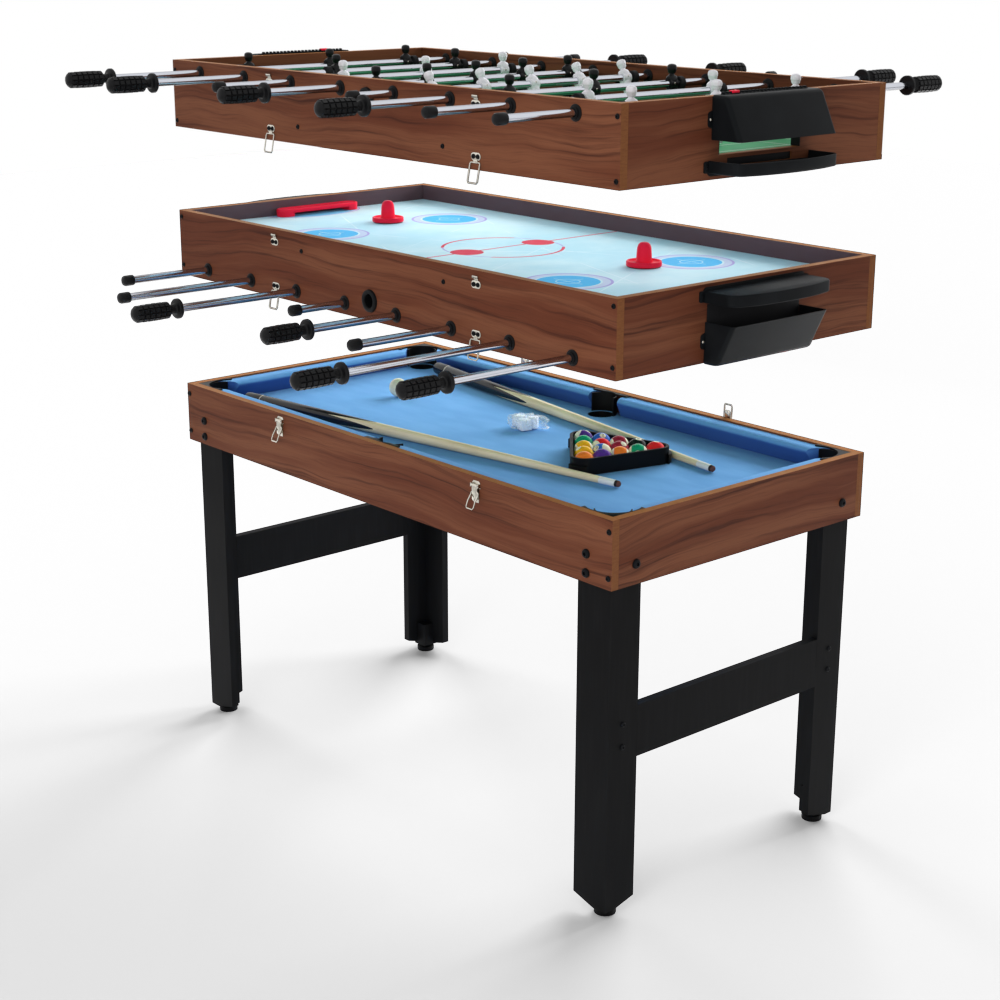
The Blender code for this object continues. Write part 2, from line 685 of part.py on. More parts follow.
def rod(name, box, place, number, turn_deg, sides):
    """A steel rod with its players, handle and cap, through both long panels."""
    players = ROD_PLAYERS[number]
    side = HANDLE_SIDE[number]
    mesh = turned_mesh(name, rod_profile(players), ROD_SIDES)
    smooth(mesh)
    made = piece(name, mesh, CHROME, box, place, (-side * math.pi / 2, 0, 0))
    row = players_mesh(name + "_players", players, sides)
    boolean(made, helper(name + "_players", row, box, place, (0, math.radians(turn_deg), 0)), "UNION")


def bumper(name, box, place, number):
    """The rubber ring that slides with a rod while the rod turns in it."""
    offset = -HANDLE_SIDE[number] * bumper_place(ROD_PLAYERS[number])
    half = BUMPER_LENGTH / 2
    profile = [(ROD_BORE, -half), (BUMPER_RADIUS, -half), (BUMPER_RADIUS, half), (ROD_BORE, half)]
    profile.append(profile[0])
    mesh = turned_mesh(name, profile, ROD_SIDES)
    smooth(mesh)
    made = piece(name, mesh, BLACK_RUBBER, box, place, (math.pi / 2, 0, 0))
    made.location.y += offset


def game_box(tier, box, flipped):
    """The four panels, the floor board and the mouldings at both ends of one box."""
    front, rear = (1, -1) if flipped else (-1, 1)
    long_panel(f"{tier}_front_panel", box, front)
    long_panel(f"{tier}_rear_panel", box, rear)
    for along, side in (("left", -1), ("right", 1)):
        end_panel(f"{tier}_{along}_panel", box, side)
        end_unit(f"{tier}_{along}_goal_unit", box, side)


def foosball_tier():
    """The upper box, with its football field up: each rod slides, and turns in its bumper."""
    box = frame("foosball_box", place=(0, 0, FOOSBALL_CENTRE))
    game_box("foosball", box, flipped=False)
    floor_board("foosball_field", FIELD, box)
    for number, x in enumerate(rod_places()):
        shift = FOOSBALL_SHIFT_SHARES[number] * stroke(ROD_PLAYERS[number])
        place = (x, shift, box_height(ROD_HEIGHT))
        turn_deg = FOOSBALL_TURNS_DEG[number]
        rod(f"foosball_rod_{number + 1}", box, place, number, turn_deg, PLAYER_SIDES)
        bumper(f"foosball_bumper_{number + 1}", box, place, number)


def pusher(name, place):
    """A hand pusher: a wide shallow foot with a domed knob."""
    dome = PUSHER_KNOB / 2
    profile = [
        (0, 0),
        (PUSHER_RADIUS, 0),
        (PUSHER_RADIUS, PUSHER_BASE),
        (PUSHER_KNOB, PUSHER_BASE + dome),
        (PUSHER_KNOB, PUSHER_HEIGHT - dome),
        (dome, PUSHER_HEIGHT),
        (0, PUSHER_HEIGHT),
    ]
    mesh = turned_mesh(name, profile)
    smooth(mesh)
    piece(name, mesh, RED_PLASTIC, place=place)


def hockey_tier():
    """The lower box, turned over so that its rink is up and its rods hang under the floor."""
    box = frame("hockey_box", place=(0, 0, HOCKEY_CENTRE), turn=(math.pi, 0, 0))
    game_box("hockey", box, flipped=True)
    floor_board("hockey_rink", RINK, box)
    for number, x in enumerate(rod_places()):
        shift = -HOCKEY_SHIFT_SHARES[number] * stroke(ROD_PLAYERS[number])
        place = (x, shift, box_height(ROD_HEIGHT))
        rod(f"hockey_rod_{number + 1}", box, place, number, HOCKEY_TURN_DEG, HIDDEN_PLAYER_SIDES)
    rink = HOCKEY_CENTRE - box_height(RINK_DEPTH) + GAP
    for along, (share_x, share_y) in zip(("left", "right"), PUSHER_SHARES):
        pusher(f"{along}_pusher", (share_x * LENGTH / 2, share_y * WIDTH / 2, rink))


def cue(name, tip, butt):
    """A cue that lies on the bed, from its butt to its tip."""
    profile = [
        (0, 0),
        (CUE_BUTT, 0),
        (CUE_BUTT, CUE_BUTT),
        (CUE_TIP, CUE_LENGTH - CUE_TIP),
        (CUE_TIP / 2, CUE_LENGTH),
        (0, CUE_LENGTH),
    ]
    mesh = turned_mesh(name, profile, ROUND_SIDES)
    smooth(mesh)
    start = Vector((butt[0] * LENGTH / 2, butt[1] * WIDTH / 2, BED_TOP + GAP + CUE_BUTT))
    across = Vector((tip[0] * LENGTH / 2 - start.x, tip[1] * WIDTH / 2 - start.y, 0)).normalized()
    fall = (CUE_BUTT - CUE_TIP) / CUE_LENGTH
    along = across * math.cos(fall) - Vector((0, 0, math.sin(fall)))
    made = piece(name, mesh, MAPLE, place=start)
    made.rotation_euler = along.to_track_quat("Z", "Y").to_euler()


def ball_mesh(name, places):
    """Balls at the given places."""
    form = bmesh.new()
    for place in places:
        moved = Matrix.Translation(place)
        bmesh.ops.create_icosphere(form, subdivisions=2, radius=BALL_RADIUS, matrix=moved)
    return mesh_from(name, form)


def racked_balls():
    """Fifteen balls pressed together in a triangle rack, on the bed."""
    rows = 5
    pitch = 2 * BALL_RADIUS - BALL_PINCH
    groups = ([], [], [])
    for row in range(rows):
        for n in range(row + 1):
            x = (2 * (rows - 1) / 3 - row) * pitch * math.sqrt(3) / 2
            y = (n - row / 2) * pitch
            groups[(row + 2 * n) % 3].append((x, y, BALL_RADIUS))
    inside = BALL_RADIUS - BALL_PINCH / 4
    apex = (rows - 1) * pitch / math.sqrt(3)
    corners = [(apex * math.cos(math.radians(a)), apex * math.sin(math.radians(a))) for a in (0, 120, 240)]
    hollow = [p for c, a in zip(corners, (0, 120, 240)) for p in arc(c, inside, a - 60, a + 60, 4)]
    outside = inside + RACK_WALL
    outer = [p for c, a in zip(corners, (0, 120, 240)) for p in arc(c, outside, a - 60, a + 60, 4)]
    place = (RACK_PLACE_SHARES[0] * LENGTH / 2, RACK_PLACE_SHARES[1] * WIDTH / 2, BED_TOP + GAP)
    turn = (0, 0, math.radians(RACK_TURN_DEG))
    made = piece("racked_balls", ball_mesh("racked_balls", groups[0]), BALL_RESIN, place=place, turn=turn)
    smooth(made.data)
    for label, group in (("second_balls", groups[1]), ("third_balls", groups[2])):
        boolean(made, helper(label, ball_mesh(label, group), place=place, turn=turn), "UNION")
    rack = plate_mesh("triangle_rack", [outer, hollow], RACK_HEIGHT)
    middle = (place[0], place[1], place[2] + RACK_HEIGHT / 2)
    boolean(made, helper("triangle_rack", rack, place=middle, turn=turn), "UNION")


def accessories():
    """The balls and cues on the bed."""
    racked_balls()
    form = bmesh.new()
    bmesh.ops.create_icosphere(form, subdivisions=3, radius=BALL_RADIUS)
    mesh = mesh_from("cue_ball", form)
    smooth(mesh)
    place = (CUE_BALL_SHARES[0] * LENGTH / 2, CUE_BALL_SHARES[1] * WIDTH / 2, BED_TOP + GAP + BALL_RADIUS)
    piece("cue_ball", mesh, IVORY, place=place)
    for name, tip, butt in zip(("front_cue", "rear_cue"), CUE_TIP_SHARES, CUE_BUTT_SHARES):
        cue(name, tip, butt)


def centre_over_origin():
    """Shift the table across so that the origin lies under the middle of its handles' span."""
    bpy.context.view_layer.update()
    reach = [(o.matrix_world @ Vector(corner)).y for o in table.objects for corner in o.bound_box]
    root.location.y = -(min(reach) + max(reach)) / 2


aprons()
pool_bed()
cushions()
legs_and_braces()
latches()
hockey_tier()
foosball_tier()
accessories()
centre_over_origin()
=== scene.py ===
"""Dresses the multi game table: its finishes, fittings, printed boards, players and accessories.

Every piece is placed in the frame's own metres, so it lines up with the solids under it. The two
game boxes are the same box, so their fittings are made twice from one description: as built for
the table football box, and turned over for the hockey box.
"""

import json
import math
import random

import bmesh
import bpy
from mathutils import Matrix, Vector


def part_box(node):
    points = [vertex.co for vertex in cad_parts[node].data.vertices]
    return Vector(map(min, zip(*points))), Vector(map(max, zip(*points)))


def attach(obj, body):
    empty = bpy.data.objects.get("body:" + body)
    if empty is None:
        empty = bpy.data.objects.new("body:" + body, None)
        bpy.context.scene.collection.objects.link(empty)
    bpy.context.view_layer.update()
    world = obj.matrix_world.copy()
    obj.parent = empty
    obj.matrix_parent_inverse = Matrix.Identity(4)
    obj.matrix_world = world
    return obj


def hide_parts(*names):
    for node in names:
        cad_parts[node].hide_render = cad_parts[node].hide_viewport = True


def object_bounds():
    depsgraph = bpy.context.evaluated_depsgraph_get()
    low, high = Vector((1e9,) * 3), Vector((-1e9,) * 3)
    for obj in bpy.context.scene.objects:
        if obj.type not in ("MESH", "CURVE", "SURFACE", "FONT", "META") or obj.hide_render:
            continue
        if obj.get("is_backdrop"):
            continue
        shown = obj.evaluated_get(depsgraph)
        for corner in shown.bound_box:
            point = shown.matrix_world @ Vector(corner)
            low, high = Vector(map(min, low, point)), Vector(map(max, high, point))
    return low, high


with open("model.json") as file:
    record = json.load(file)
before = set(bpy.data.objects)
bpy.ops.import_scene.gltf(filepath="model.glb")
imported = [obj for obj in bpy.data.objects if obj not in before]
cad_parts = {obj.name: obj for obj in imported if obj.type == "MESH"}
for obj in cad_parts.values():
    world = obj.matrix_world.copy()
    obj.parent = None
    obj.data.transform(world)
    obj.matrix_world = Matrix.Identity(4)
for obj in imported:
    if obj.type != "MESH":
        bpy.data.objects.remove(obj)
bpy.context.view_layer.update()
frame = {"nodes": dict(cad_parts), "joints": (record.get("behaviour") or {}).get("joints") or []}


# Walnut boards
# The aprons and the panels of both boxes are chipboard wrapped in a printed walnut laminate.
# Their sawn edges carry a thin, lighter edge band, seen along each rim and at each corner.


class Value:
    """A node's output in a sum: each operator adds the Math node that works it out."""

    def __init__(self, nodes, socket):
        self.nodes = nodes
        self.socket = socket

    def math(self, operation, other=None, first=None):
        """The Math node of an operation on this value, with one after it or one before it."""
        operands = [value for value in (first, self, other) if value is not None]
        sockets = dict(zip(("Value", "Value_001"), operands))
        return self.nodes.node("ShaderNodeMath", {"operation": operation}, sockets)

    def __add__(self, other):
        return self.math("ADD", other)

    def __radd__(self, other):
        return self.math("ADD", first=other)

    def __sub__(self, other):
        return self.math("SUBTRACT", other)

    def __rsub__(self, other):
        return self.math("SUBTRACT", first=other)

    def __mul__(self, other):
        return self.math("MULTIPLY", other)

    def __rmul__(self, other):
        return self.math("MULTIPLY", first=other)

    def __truediv__(self, other):
        return self.math("DIVIDE", other)

    def __pow__(self, other):
        return self.math("POWER", other)

    def __abs__(self):
        return self.math("ABSOLUTE")

    def smallest(self, other):
        """The smaller of the two."""
        return self.math("MINIMUM", other)

    def largest(self, other):
        """The larger of the two."""
        return self.math("MAXIMUM", other)

    def rise(self, low, high):
        """0 below low and 1 above high, with a soft step between them."""
        sockets = {"Value": self, "From Min": low, "From Max": high}
        return self.nodes.node("ShaderNodeMapRange", {"interpolation_type": "SMOOTHSTEP"}, sockets)

    def fall(self, low, high):
        """1 below low and 0 above high, with a soft step between them."""
        return 1 - self.rise(low, high)

    def line(self, width, soft=0.0004):
        """1 where this distance is within half the width."""
        return abs(self).fall(width / 2, width / 2 + soft)


class Nodes:
    """A tree of nodes, with one way to add a node and one to feed a socket."""

    def __init__(self, tree):
        self.tree = tree

    def feed(self, socket, value):
        """A socket takes a node's output, a colour or a number."""
        if isinstance(value, Value):
            self.tree.links.new(value.socket, socket)
        elif socket.type == "RGBA":
            socket.default_value = (*value, 1.0)[:4]
        else:
            socket.default_value = value

    def node(self, kind, settings=None, sockets=None, output=None):
        """Any other node: its settings first, then the values or links of its sockets."""
        made = self.tree.nodes.new(kind)
        for name, setting in (settings or {}).items():
            setattr(made, name, setting)
        inputs = {socket.identifier: socket for socket in made.inputs}
        for name, value in (sockets or {}).items():
            self.feed(inputs[name], value)
        outputs = {socket.identifier: socket for socket in made.outputs}
        return Value(self, outputs[output] if output else made.outputs[0])

    def axes(self, vector):
        """X, Y and Z of a vector."""
        return [self.node("ShaderNodeSeparateXYZ", sockets={"Vector": vector}, output=axis) for axis in "XYZ"]


class Finish(Nodes):
    """A material: one Principled shader, and the nodes that vary it."""

    def __init__(self, name, roughness=0.5, metallic=0.0, coat=0.0, specular=0.5):
        self.material = bpy.data.materials.new(name)
        self.material.use_nodes = True
        super().__init__(self.material.node_tree)
        self.shader = self.tree.nodes["Principled BSDF"]
        self.set("Roughness", roughness)
        self.set("Metallic", metallic)
        self.set("Coat Weight", coat)
        self.set("Specular IOR Level", specular)

    def set(self, name, value):
        """Feed one of the shader's own sockets."""
        self.feed(self.shader.inputs[name], value)

    def place(self, shift=(0, 0, 0)):
        """X, Y and Z of the surface, in metres from the given point."""
        point = self.node("ShaderNodeTexCoord", output="Object")
        return [axis - start for axis, start in zip(self.axes(point), shift)]

    def facing(self):
        """X, Y and Z of the surface's own direction."""
        return self.axes(self.node("ShaderNodeNewGeometry", output="Normal"))

    def noise(self, point, scale, detail=3.0, roughness=0.5):
        """Noise at a point of three values."""
        vector = self.node("ShaderNodeCombineXYZ", sockets=dict(zip("XYZ", point)))
        sockets = {"Vector": vector, "Scale": scale, "Detail": detail, "Roughness": roughness}
        return self.node("ShaderNodeTexNoise", sockets=sockets, output="Fac")

    def cloud(self, scale, detail=3.0, roughness=0.5):
        """Noise over the surface, the same in every direction."""
        return self.noise(self.place(), scale, detail, roughness)

    def mix(self, amount, base, over):
        """One colour over another, by the amount."""
        sockets = {"Factor_Float": amount, "A_Color": base, "B_Color": over}
        return self.node("ShaderNodeMix", {"data_type": "RGBA"}, sockets, "Result_Color")

    def bump(self, height, distance, strength):
        """A fine relief, its height in metres at full strength."""
        sockets = {"Height": height, "Distance": distance, "Strength": strength}
        self.set("Normal", self.node("ShaderNodeBump", sockets=sockets))


WALNUT = (0.107, 0.031, 0.0150)
WALNUT_PALE = (0.165, 0.060, 0.030)
WALNUT_STREAK = (0.038, 0.011, 0.007)
RIM_BAND = (0.330, 0.128, 0.034)
END_BAND = (0.180, 0.070, 0.025)
LINER = (0.115, 0.075, 0.088)
RINK_WALL = 0.030


def walnut(name, across_board, lined=None):
    """Laminate whose printed grain runs along the board. Lined walls are dark inside by the rink."""
    finish = Finish(name, roughness=0.45, specular=0.06)
    x, y, z = finish.place()
    along, through = (y, x) if across_board else (x, y)
    swing = finish.noise((along * 1.3, through * 2, z * 3), 1.0, 1, 0.4)
    knot = finish.noise((along * 6.0, through * 2, z * 16), 1.0, 2, 0.5)
    figure = z * 34 + swing * 4.2 + knot * 0.9
    broad = finish.noise((along * 1.4, through * 3, figure * 0.8), 1.0, 3, 0.55)
    lines = finish.noise((along * 2.2, through * 8, figure * 3.2), 1.0, 5, 0.62)
    fibre = finish.noise((along * 14, through * 90, figure * 18), 1.0, 3, 0.65)
    pore = finish.noise((along * 32, through * 400, z * 900), 1.0, 2)
    wood = finish.mix(broad.rise(0.36, 0.66), WALNUT, WALNUT_PALE)
    wood = finish.mix(lines.rise(0.49, 0.72) * 0.84, wood, WALNUT_STREAK)
    wood = finish.mix((0.50 - lines).rise(0.06, 0.20) * 0.35, wood, WALNUT_PALE)
    wood = finish.mix(fibre.rise(0.46, 0.74) * 0.26, wood, WALNUT_STREAK)
    wood = finish.mix(pore.rise(0.60, 0.74) * 0.18, wood, WALNUT_PALE)
    east, north, up = finish.facing()
    end_face = abs(north if across_board else east).rise(0.6, 0.9)
    wood = finish.mix(end_face, wood, finish.mix(fibre.rise(0.3, 0.8) * 0.5, END_BAND, WALNUT))
    if lined:
        middle, half, low, high = lined
        wall = abs(x) if across_board else abs(y - middle)
        inside = wall.fall(half, half + 0.001)
        beside_rink = z.rise(low, low + 0.0005) * z.fall(high, high + 0.0005)
        wood = finish.mix(inside * beside_rink * (1 - end_face) * 0.92, wood, LINER)
    band = finish.mix(fibre.rise(0.3, 0.8) * 0.4, RIM_BAND, END_BAND)
    finish.set("Base Color", finish.mix(abs(up).rise(0.6, 0.9), wood, band))
    finish.set("Roughness", 0.38 + fibre * 0.18)
    finish.bump(fibre * 0.6 + pore * 0.4, 0.0002, 0.3)
    return finish.material


walnuts = {}


def walnut_for(name):
    """The laminate of one board: its grain's direction, and on a game box its lined rink side."""
    on_end = "left" in name or "right" in name
    tier = name.split("_")[0]
    lined = None
    if name.endswith("_panel"):
        front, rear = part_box(f"{tier}_front_panel"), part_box(f"{tier}_rear_panel")
        across = (front[0].y + rear[1].y) / 2
        inner = (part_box(f"{tier}_right_panel")[0].x if on_end else rear[0].y - across) + 0.002
        low = rear[1].z - RINK_WALL if tier == "hockey" else rear[0].z
        lined = (across, inner, low, low + RINK_WALL)
    key = (tier if lined else "apron") + ("_end_walnut" if on_end else "_long_walnut")
    if key not in walnuts:
        walnuts[key] = walnut(key, on_end, lined)
    return walnuts[key]


def soften(name, width):
    """A small rounding on the edges of a solid that is kept."""
    rounding = frame["nodes"][name].modifiers.new("rounded_edges", "BEVEL")
    rounding.width = width
    rounding.segments = 2
    rounding.limit_method = "ANGLE"
    rounding.angle_limit = math.radians(40)


def refinish(name, material):
    """A kept solid takes a better material."""
    mesh = frame["nodes"][name].data
    mesh.materials.clear()
    mesh.materials.append(material)


for name in frame["nodes"]:
    if name.endswith("_apron") or name.endswith("_panel"):
        refinish(name, walnut_for(name))
        soften(name, 0.0008)


# Legs and braces
# Each leg is two black laminated boards in an L, on a plastic levelling foot with a round disc.
# A brace runs between the legs at each end, and black bolts hold it and the legs.

BLACK = (0.0035, 0.0035, 0.0038)
BLACK_WORN = (0.0095, 0.0095, 0.0100)


def black_laminate():
    """Satin black laminate with a faint brushed grain."""
    finish = Finish("black_laminate", roughness=0.5, specular=0.05)
    x, y, z = finish.place()
    grain = finish.noise((x * 160, y * 160, z * 12), 1.0, 4)
    cloud = finish.cloud(9, 3)
    colour = finish.mix(grain.rise(0.4, 0.8) * 0.5, BLACK, BLACK_WORN)
    finish.set("Base Color", colour)
    finish.set("Roughness", 0.44 + cloud * 0.14 + grain * 0.06)
    finish.bump(grain, 0.0002, 0.3)
    return finish.material


black_board = black_laminate()
for name in frame["nodes"]:
    if name.endswith("_leg") or name.endswith("_brace"):
        refinish(name, black_board)
        soften(name, 0.0010)


# Bed and cushions
# The bed is a board under blue cloth. Six cushions, wrapped in the same cloth, run along the
# aprons with a nose that overhangs the bed, and a black plastic casting caps each gap.

CLOTH = (0.118, 0.328, 0.670)
CLOTH_LIGHT = (0.165, 0.405, 0.770)
CLOTH_SHADE = (0.012, 0.048, 0.250)


def cloth(name, shaded_nose, colour=CLOTH, light=CLOTH_LIGHT):
    """Brushed billiard cloth: short fibres over a fine weave, with painted shade where a nose turns under."""
    finish = Finish(name, roughness=0.9, specular=0.03)
    x, y, z = finish.place()
    fibre = finish.noise((x * 900, y * 700, z * 900), 1.0, 2)
    nap = finish.noise((x * 5, y * 14, z * 9), 2.0, 4)
    weave = (x * 5200).math("SINE") * (y * 5200).math("SINE")
    colour = finish.mix(nap.rise(0.3, 0.75) * 0.55 + fibre * 0.2, colour, light)
    if shaded_nose:
        # Painted shade: the cloth darkens on every face that does not face up, such as a cushion's nose.
        up = finish.facing()[2]
        colour = finish.mix(up.fall(-0.1, 0.75) * 0.85, colour, CLOTH_SHADE)
    finish.set("Base Color", colour)
    finish.set("Roughness", 0.82 + fibre * 0.14)
    finish.set("Sheen Weight", 0.06)
    finish.bump(fibre * 0.7 + weave * 0.15 + 0.15, 0.0003, 0.5)
    return finish.material


def circle(sides):
    """Points of a unit circle."""
    turns = [2 * math.pi * n / sides for n in range(sides)]
    return [(math.cos(a), math.sin(a)) for a in turns]


class Shape:
    """Gathers the faces of one piece. Each part is placed by a matrix and has its own finish."""

    def __init__(self, name):
        self.name = name
        self.form = bmesh.new()
        self.finishes = []

    def take(self, faces, material):
        """The faces get the finish."""
        if material not in self.finishes:
            self.finishes.append(material)
        for face in faces:
            face.material_index = self.finishes.index(material)

    def skin(self, rings, material, where=Matrix(), looped=False):
        """Faces from ring to ring. A ring of one point is a tip, and larger end rings are capped."""
        made = [[self.form.verts.new(where @ Vector(point)) for point in ring] for ring in rings]
        faces = []
        for low, high in zip(made, made[1:] + (made[:1] if looped else [])):
            count = max(len(low), len(high))
            for n in range(count):
                after = (n + 1) % count
                places = ((low, n), (low, after), (high, after), (high, n))
                faces.append(self.form.faces.new(dict.fromkeys(ring[k % len(ring)] for ring, k in places)))
        if not looped:
            faces += [self.form.faces.new(ring) for ring in (made[0], made[-1]) if len(ring) > 2]
        self.take(faces, material)

    def turn(self, profile, material, where=Matrix(), sides=32):
        """A profile of (radius, height) points turned round Z. A radius of 0 is a tip."""
        rings = []
        for radius, height in profile:
            round_it = [(radius * u, radius * v, height) for u, v in circle(sides)]
            rings.append(round_it if radius else [(0, 0, height)])
        self.skin(rings, material, where)

    def wire(self, points, radius, material, where=Matrix(), closed=False, sides=10):
        """A round wire through the points."""
        path = [Vector(point) for point in points]
        rings = []
        side = None
        for n, spot in enumerate(path):
            before = path[n - 1] if n or closed else spot
            after = path[(n + 1) % len(path)] if closed or n < len(path) - 1 else spot
            ahead = (after - before).normalized()
            side = side or ahead.orthogonal()
            side = (side - ahead * side.dot(ahead)).normalized()
            up = ahead.cross(side)
            rings.append([spot + radius * (u * side + v * up) for u, v in circle(sides)])
        self.skin(rings, material, where, looped=closed)

    def slab(self, outline, low, high, material, where=Matrix(), edge=0.0, segments=2):
        """A flat outline with a thickness from low to high along Z and rounded edges."""
        before = set(self.form.faces)
        self.skin([[(x, y, z) for x, y in outline] for z in (low, high)], material, where)
        if not edge:
            return
        faces = set(self.form.faces) - before
        edges = list({line for face in faces for line in face.edges})
        settings = {"offset": edge, "segments": segments, "profile": 0.5, "affect": "EDGES"}
        bmesh.ops.bevel(self.form, geom=edges, clamp_overlap=True, **settings)
        self.take(set(self.form.faces) - before, material)

    def block(self, low, high, material, where=Matrix(), edge=0.0005, segments=2):
        """A block from its lowest to its highest corner, with rounded edges."""
        outline = [(low[0], low[1]), (high[0], low[1]), (high[0], high[1]), (low[0], high[1])]
        self.slab(outline, low[2], high[2], material, where, edge, segments)

    def done(self, body, slot, replaces=(), sharp_deg=35, place=Matrix(), outward=True):
        """The finished piece, riding on its body."""
        if outward:
            bmesh.ops.recalc_face_normals(self.form, faces=self.form.faces)
        mesh = bpy.data.meshes.new(self.name)
        self.form.to_mesh(mesh)
        self.form.free()
        for material in self.finishes:
            mesh.materials.append(material)
        for face in mesh.polygons:
            face.use_smooth = True
        mesh.set_sharp_from_angle(angle=math.radians(sharp_deg))
        made = bpy.data.objects.new(self.name, mesh)
        bpy.context.scene.collection.objects.link(made)
        made.matrix_world = place
        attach(made, body)
        if replaces:
            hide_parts(*replaces)


def arc(centre, radius, start_deg, end_deg, steps):
    """Points along an arc in the plane."""
    angles = [math.radians(start_deg + (end_deg - start_deg) * n / steps) for n in range(steps + 1)]
    return [(centre[0] + radius * math.cos(a), centre[1] + radius * math.sin(a)) for a in angles]


def plastic(name, colour, low, high, grain=0.00015, specular=0.3):
    """Moulded plastic: an even colour, with fine moulding texture and a roughness that drifts."""
    finish = Finish(name, specular=specular)
    cloud = finish.cloud(45, 4)
    dust = finish.cloud(24, 4)
    pale = tuple(part * 0.85 + 0.004 for part in colour)
    finish.set("Base Color", finish.mix(dust.rise(0.45, 0.85) * 0.5 + cloud * 0.1, colour, pale))
    finish.set("Roughness", low + cloud * (high - low))
    finish.bump(finish.cloud(1400, 2), grain, 0.4)
    return finish.material


black_plastic = plastic("black_plastic", (0.0045, 0.0045, 0.005), 0.32, 0.48, specular=0.10)
blue_cloth = cloth("blue_cloth", shaded_nose=False)
cushion_cloth = cloth("cushion_cloth", shaded_nose=True)
refinish("pool_bed", blue_cloth)

apron_low, apron_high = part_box("front_apron")[0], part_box("rear_apron")[1]
bed_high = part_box("pool_bed")[1]
ACROSS = (apron_low.y + apron_high.y) / 2
INSIDE_X, INSIDE_Y, BED_TOP = bed_high.x, bed_high.y - ACROSS, bed_high.z
CUSHION_TOP, CUSHION_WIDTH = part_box("cushion_rail")[1].z, 0.030
CORNER_MOUTH, SIDE_MOUTH = 0.077, 0.040
CORNER_SLOPE, SIDE_SLOPE = 1.0, 0.2
CORNER_INSET, SIDE_INSET = 0.0367, 0.033
POCKET_BAY = 0.029
PLATE_OVER = 0.0025
TOUCH = 0.0003
ENDS = {1: "right", -1: "left"}
SIDES = {1: "rear", -1: "front"}

# A cushion's section: (distance from the apron, height over the bed), from the bottom round.
RAIL = CUSHION_TOP - BED_TOP
CUSHION_SECTION = (
    (0.0, 0.0004), (0.0, RAIL), (0.0170, RAIL), (0.0228, RAIL - 0.0010), (0.0270, RAIL - 0.0034),
    (0.0295, RAIL - 0.0070), (CUSHION_WIDTH, RAIL - 0.0098), (0.0290, RAIL - 0.0125),
    (0.0200, 0.0090), (0.0172, 0.0004),
)
# The cup under a pocket: (radius, depth below the bed's face).
CUP = ((0.0264, 0.0), (0.0262, 0.012), (0.0256, 0.030), (0.0235, 0.046), (0.0150, 0.052), (0.0, 0.0525))


def half_turn(end):
    """Turned half round Z for the side or end whose sign is -1."""
    return Matrix.Rotation(0 if end > 0 else math.pi, 4, "Z")


def mirrored(points):
    """The points of a line, and back along its image on the other side of x 0."""
    return points + [(-x, *others) for x, *others in points[::-1]]


def cushion(name, where, start, start_slope, stop, stop_slope):
    """A cushion along X with its back on y 0; each end is cut back towards the nose by a slope."""
    made = Shape(name)
    first, last = [
        [(nose + side * slope * (CUSHION_WIDTH - u), -u, v) for u, v in CUSHION_SECTION]
        for nose, slope, side in ((start, start_slope, -1), (stop, stop_slope, 1))
    ]
    steps = 8
    rings = []
    for n in range(steps + 1):
        pairs = zip(first, last)
        rings.append([tuple(a + (b - a) * n / steps for a, b in zip(low, high)) for low, high in pairs])
    made.skin(rings, cushion_cloth, where)
    made.done("table_base", "navy_cushion", ["cushion_rail"], sharp_deg=50)


mouth = INSIDE_X - CORNER_MOUTH
for side, label in SIDES.items():
    for end, name in ENDS.items():
        where = Matrix.Translation((0, ACROSS + side * INSIDE_Y, BED_TOP)) @ half_turn(side)
        right_span = (SIDE_MOUTH, SIDE_SLOPE, mouth, CORNER_SLOPE)
        left_span = (-mouth, CORNER_SLOPE, -SIDE_MOUTH, SIDE_SLOPE)
        cushion(f"{label}_{name}_cushion", where, *(left_span if end * side < 0 else right_span))
for end, name in ENDS.items():
    turn = Matrix.Rotation(-end * math.pi / 2, 4, "Z")
    where = Matrix.Translation((end * INSIDE_X, ACROSS, BED_TOP)) @ turn
    mouth = INSIDE_Y - CORNER_MOUTH
    cushion(f"{name}_cushion", where, -mouth, CORNER_SLOPE, mouth, CORNER_SLOPE)


def pocket(name, centre, open_deg, plate, spread_deg):
    """A casting: a plate over the cushions' ends, a curved wall behind the hole, and a cup below."""
    made = Shape(name)
    x, y = centre
    start, stop = open_deg - spread_deg, open_deg + spread_deg
    inner = arc((x, y), POCKET_BAY - 0.0005, start, stop, 20)
    outer = arc((x, y), POCKET_BAY + 0.0018, start, stop, 20)
    over = CUSHION_TOP + 0.0002
    made.slab(inner + outer[::-1], BED_TOP + 0.0004, over, black_plastic)
    made.slab(plate, over, over + PLATE_OVER, black_plastic, edge=0.0006)
    leg_x, leg_y = INSIDE_X - 0.0170, INSIDE_Y - 0.0170
    wall = 0.0012

    def ring(radius, height, shrink):
        """A ring of the cup, kept clear of the leg's boards once it is under the bed."""
        if radius - shrink <= 0:
            return [(x, y, height)]
        points = arc((x, y), radius - shrink, 0, 352.5, 47)
        if height < BED_TOP - 0.0115:
            kept = [(min(abs(px), leg_x - shrink), min(abs(py), leg_y - shrink)) for px, py in points]
            points = [(math.copysign(a, px), math.copysign(b, py)) for (a, b), (px, py) in zip(kept, points)]
        return [(px, py, height) for px, py in points]

    top = BED_TOP - 0.0006
    outside = [ring(radius, top - depth, 0) for radius, depth in CUP]
    inside = [ring(radius, top - depth + (wall if depth > 0.04 else 0), wall) for radius, depth in CUP]
    made.skin(outside[::-1] + inside, black_plastic)
    made.form.transform(Matrix.Translation((0, ACROSS, 0)))
    made.done("table_base", "black_plastic", ["cushion_rail"])


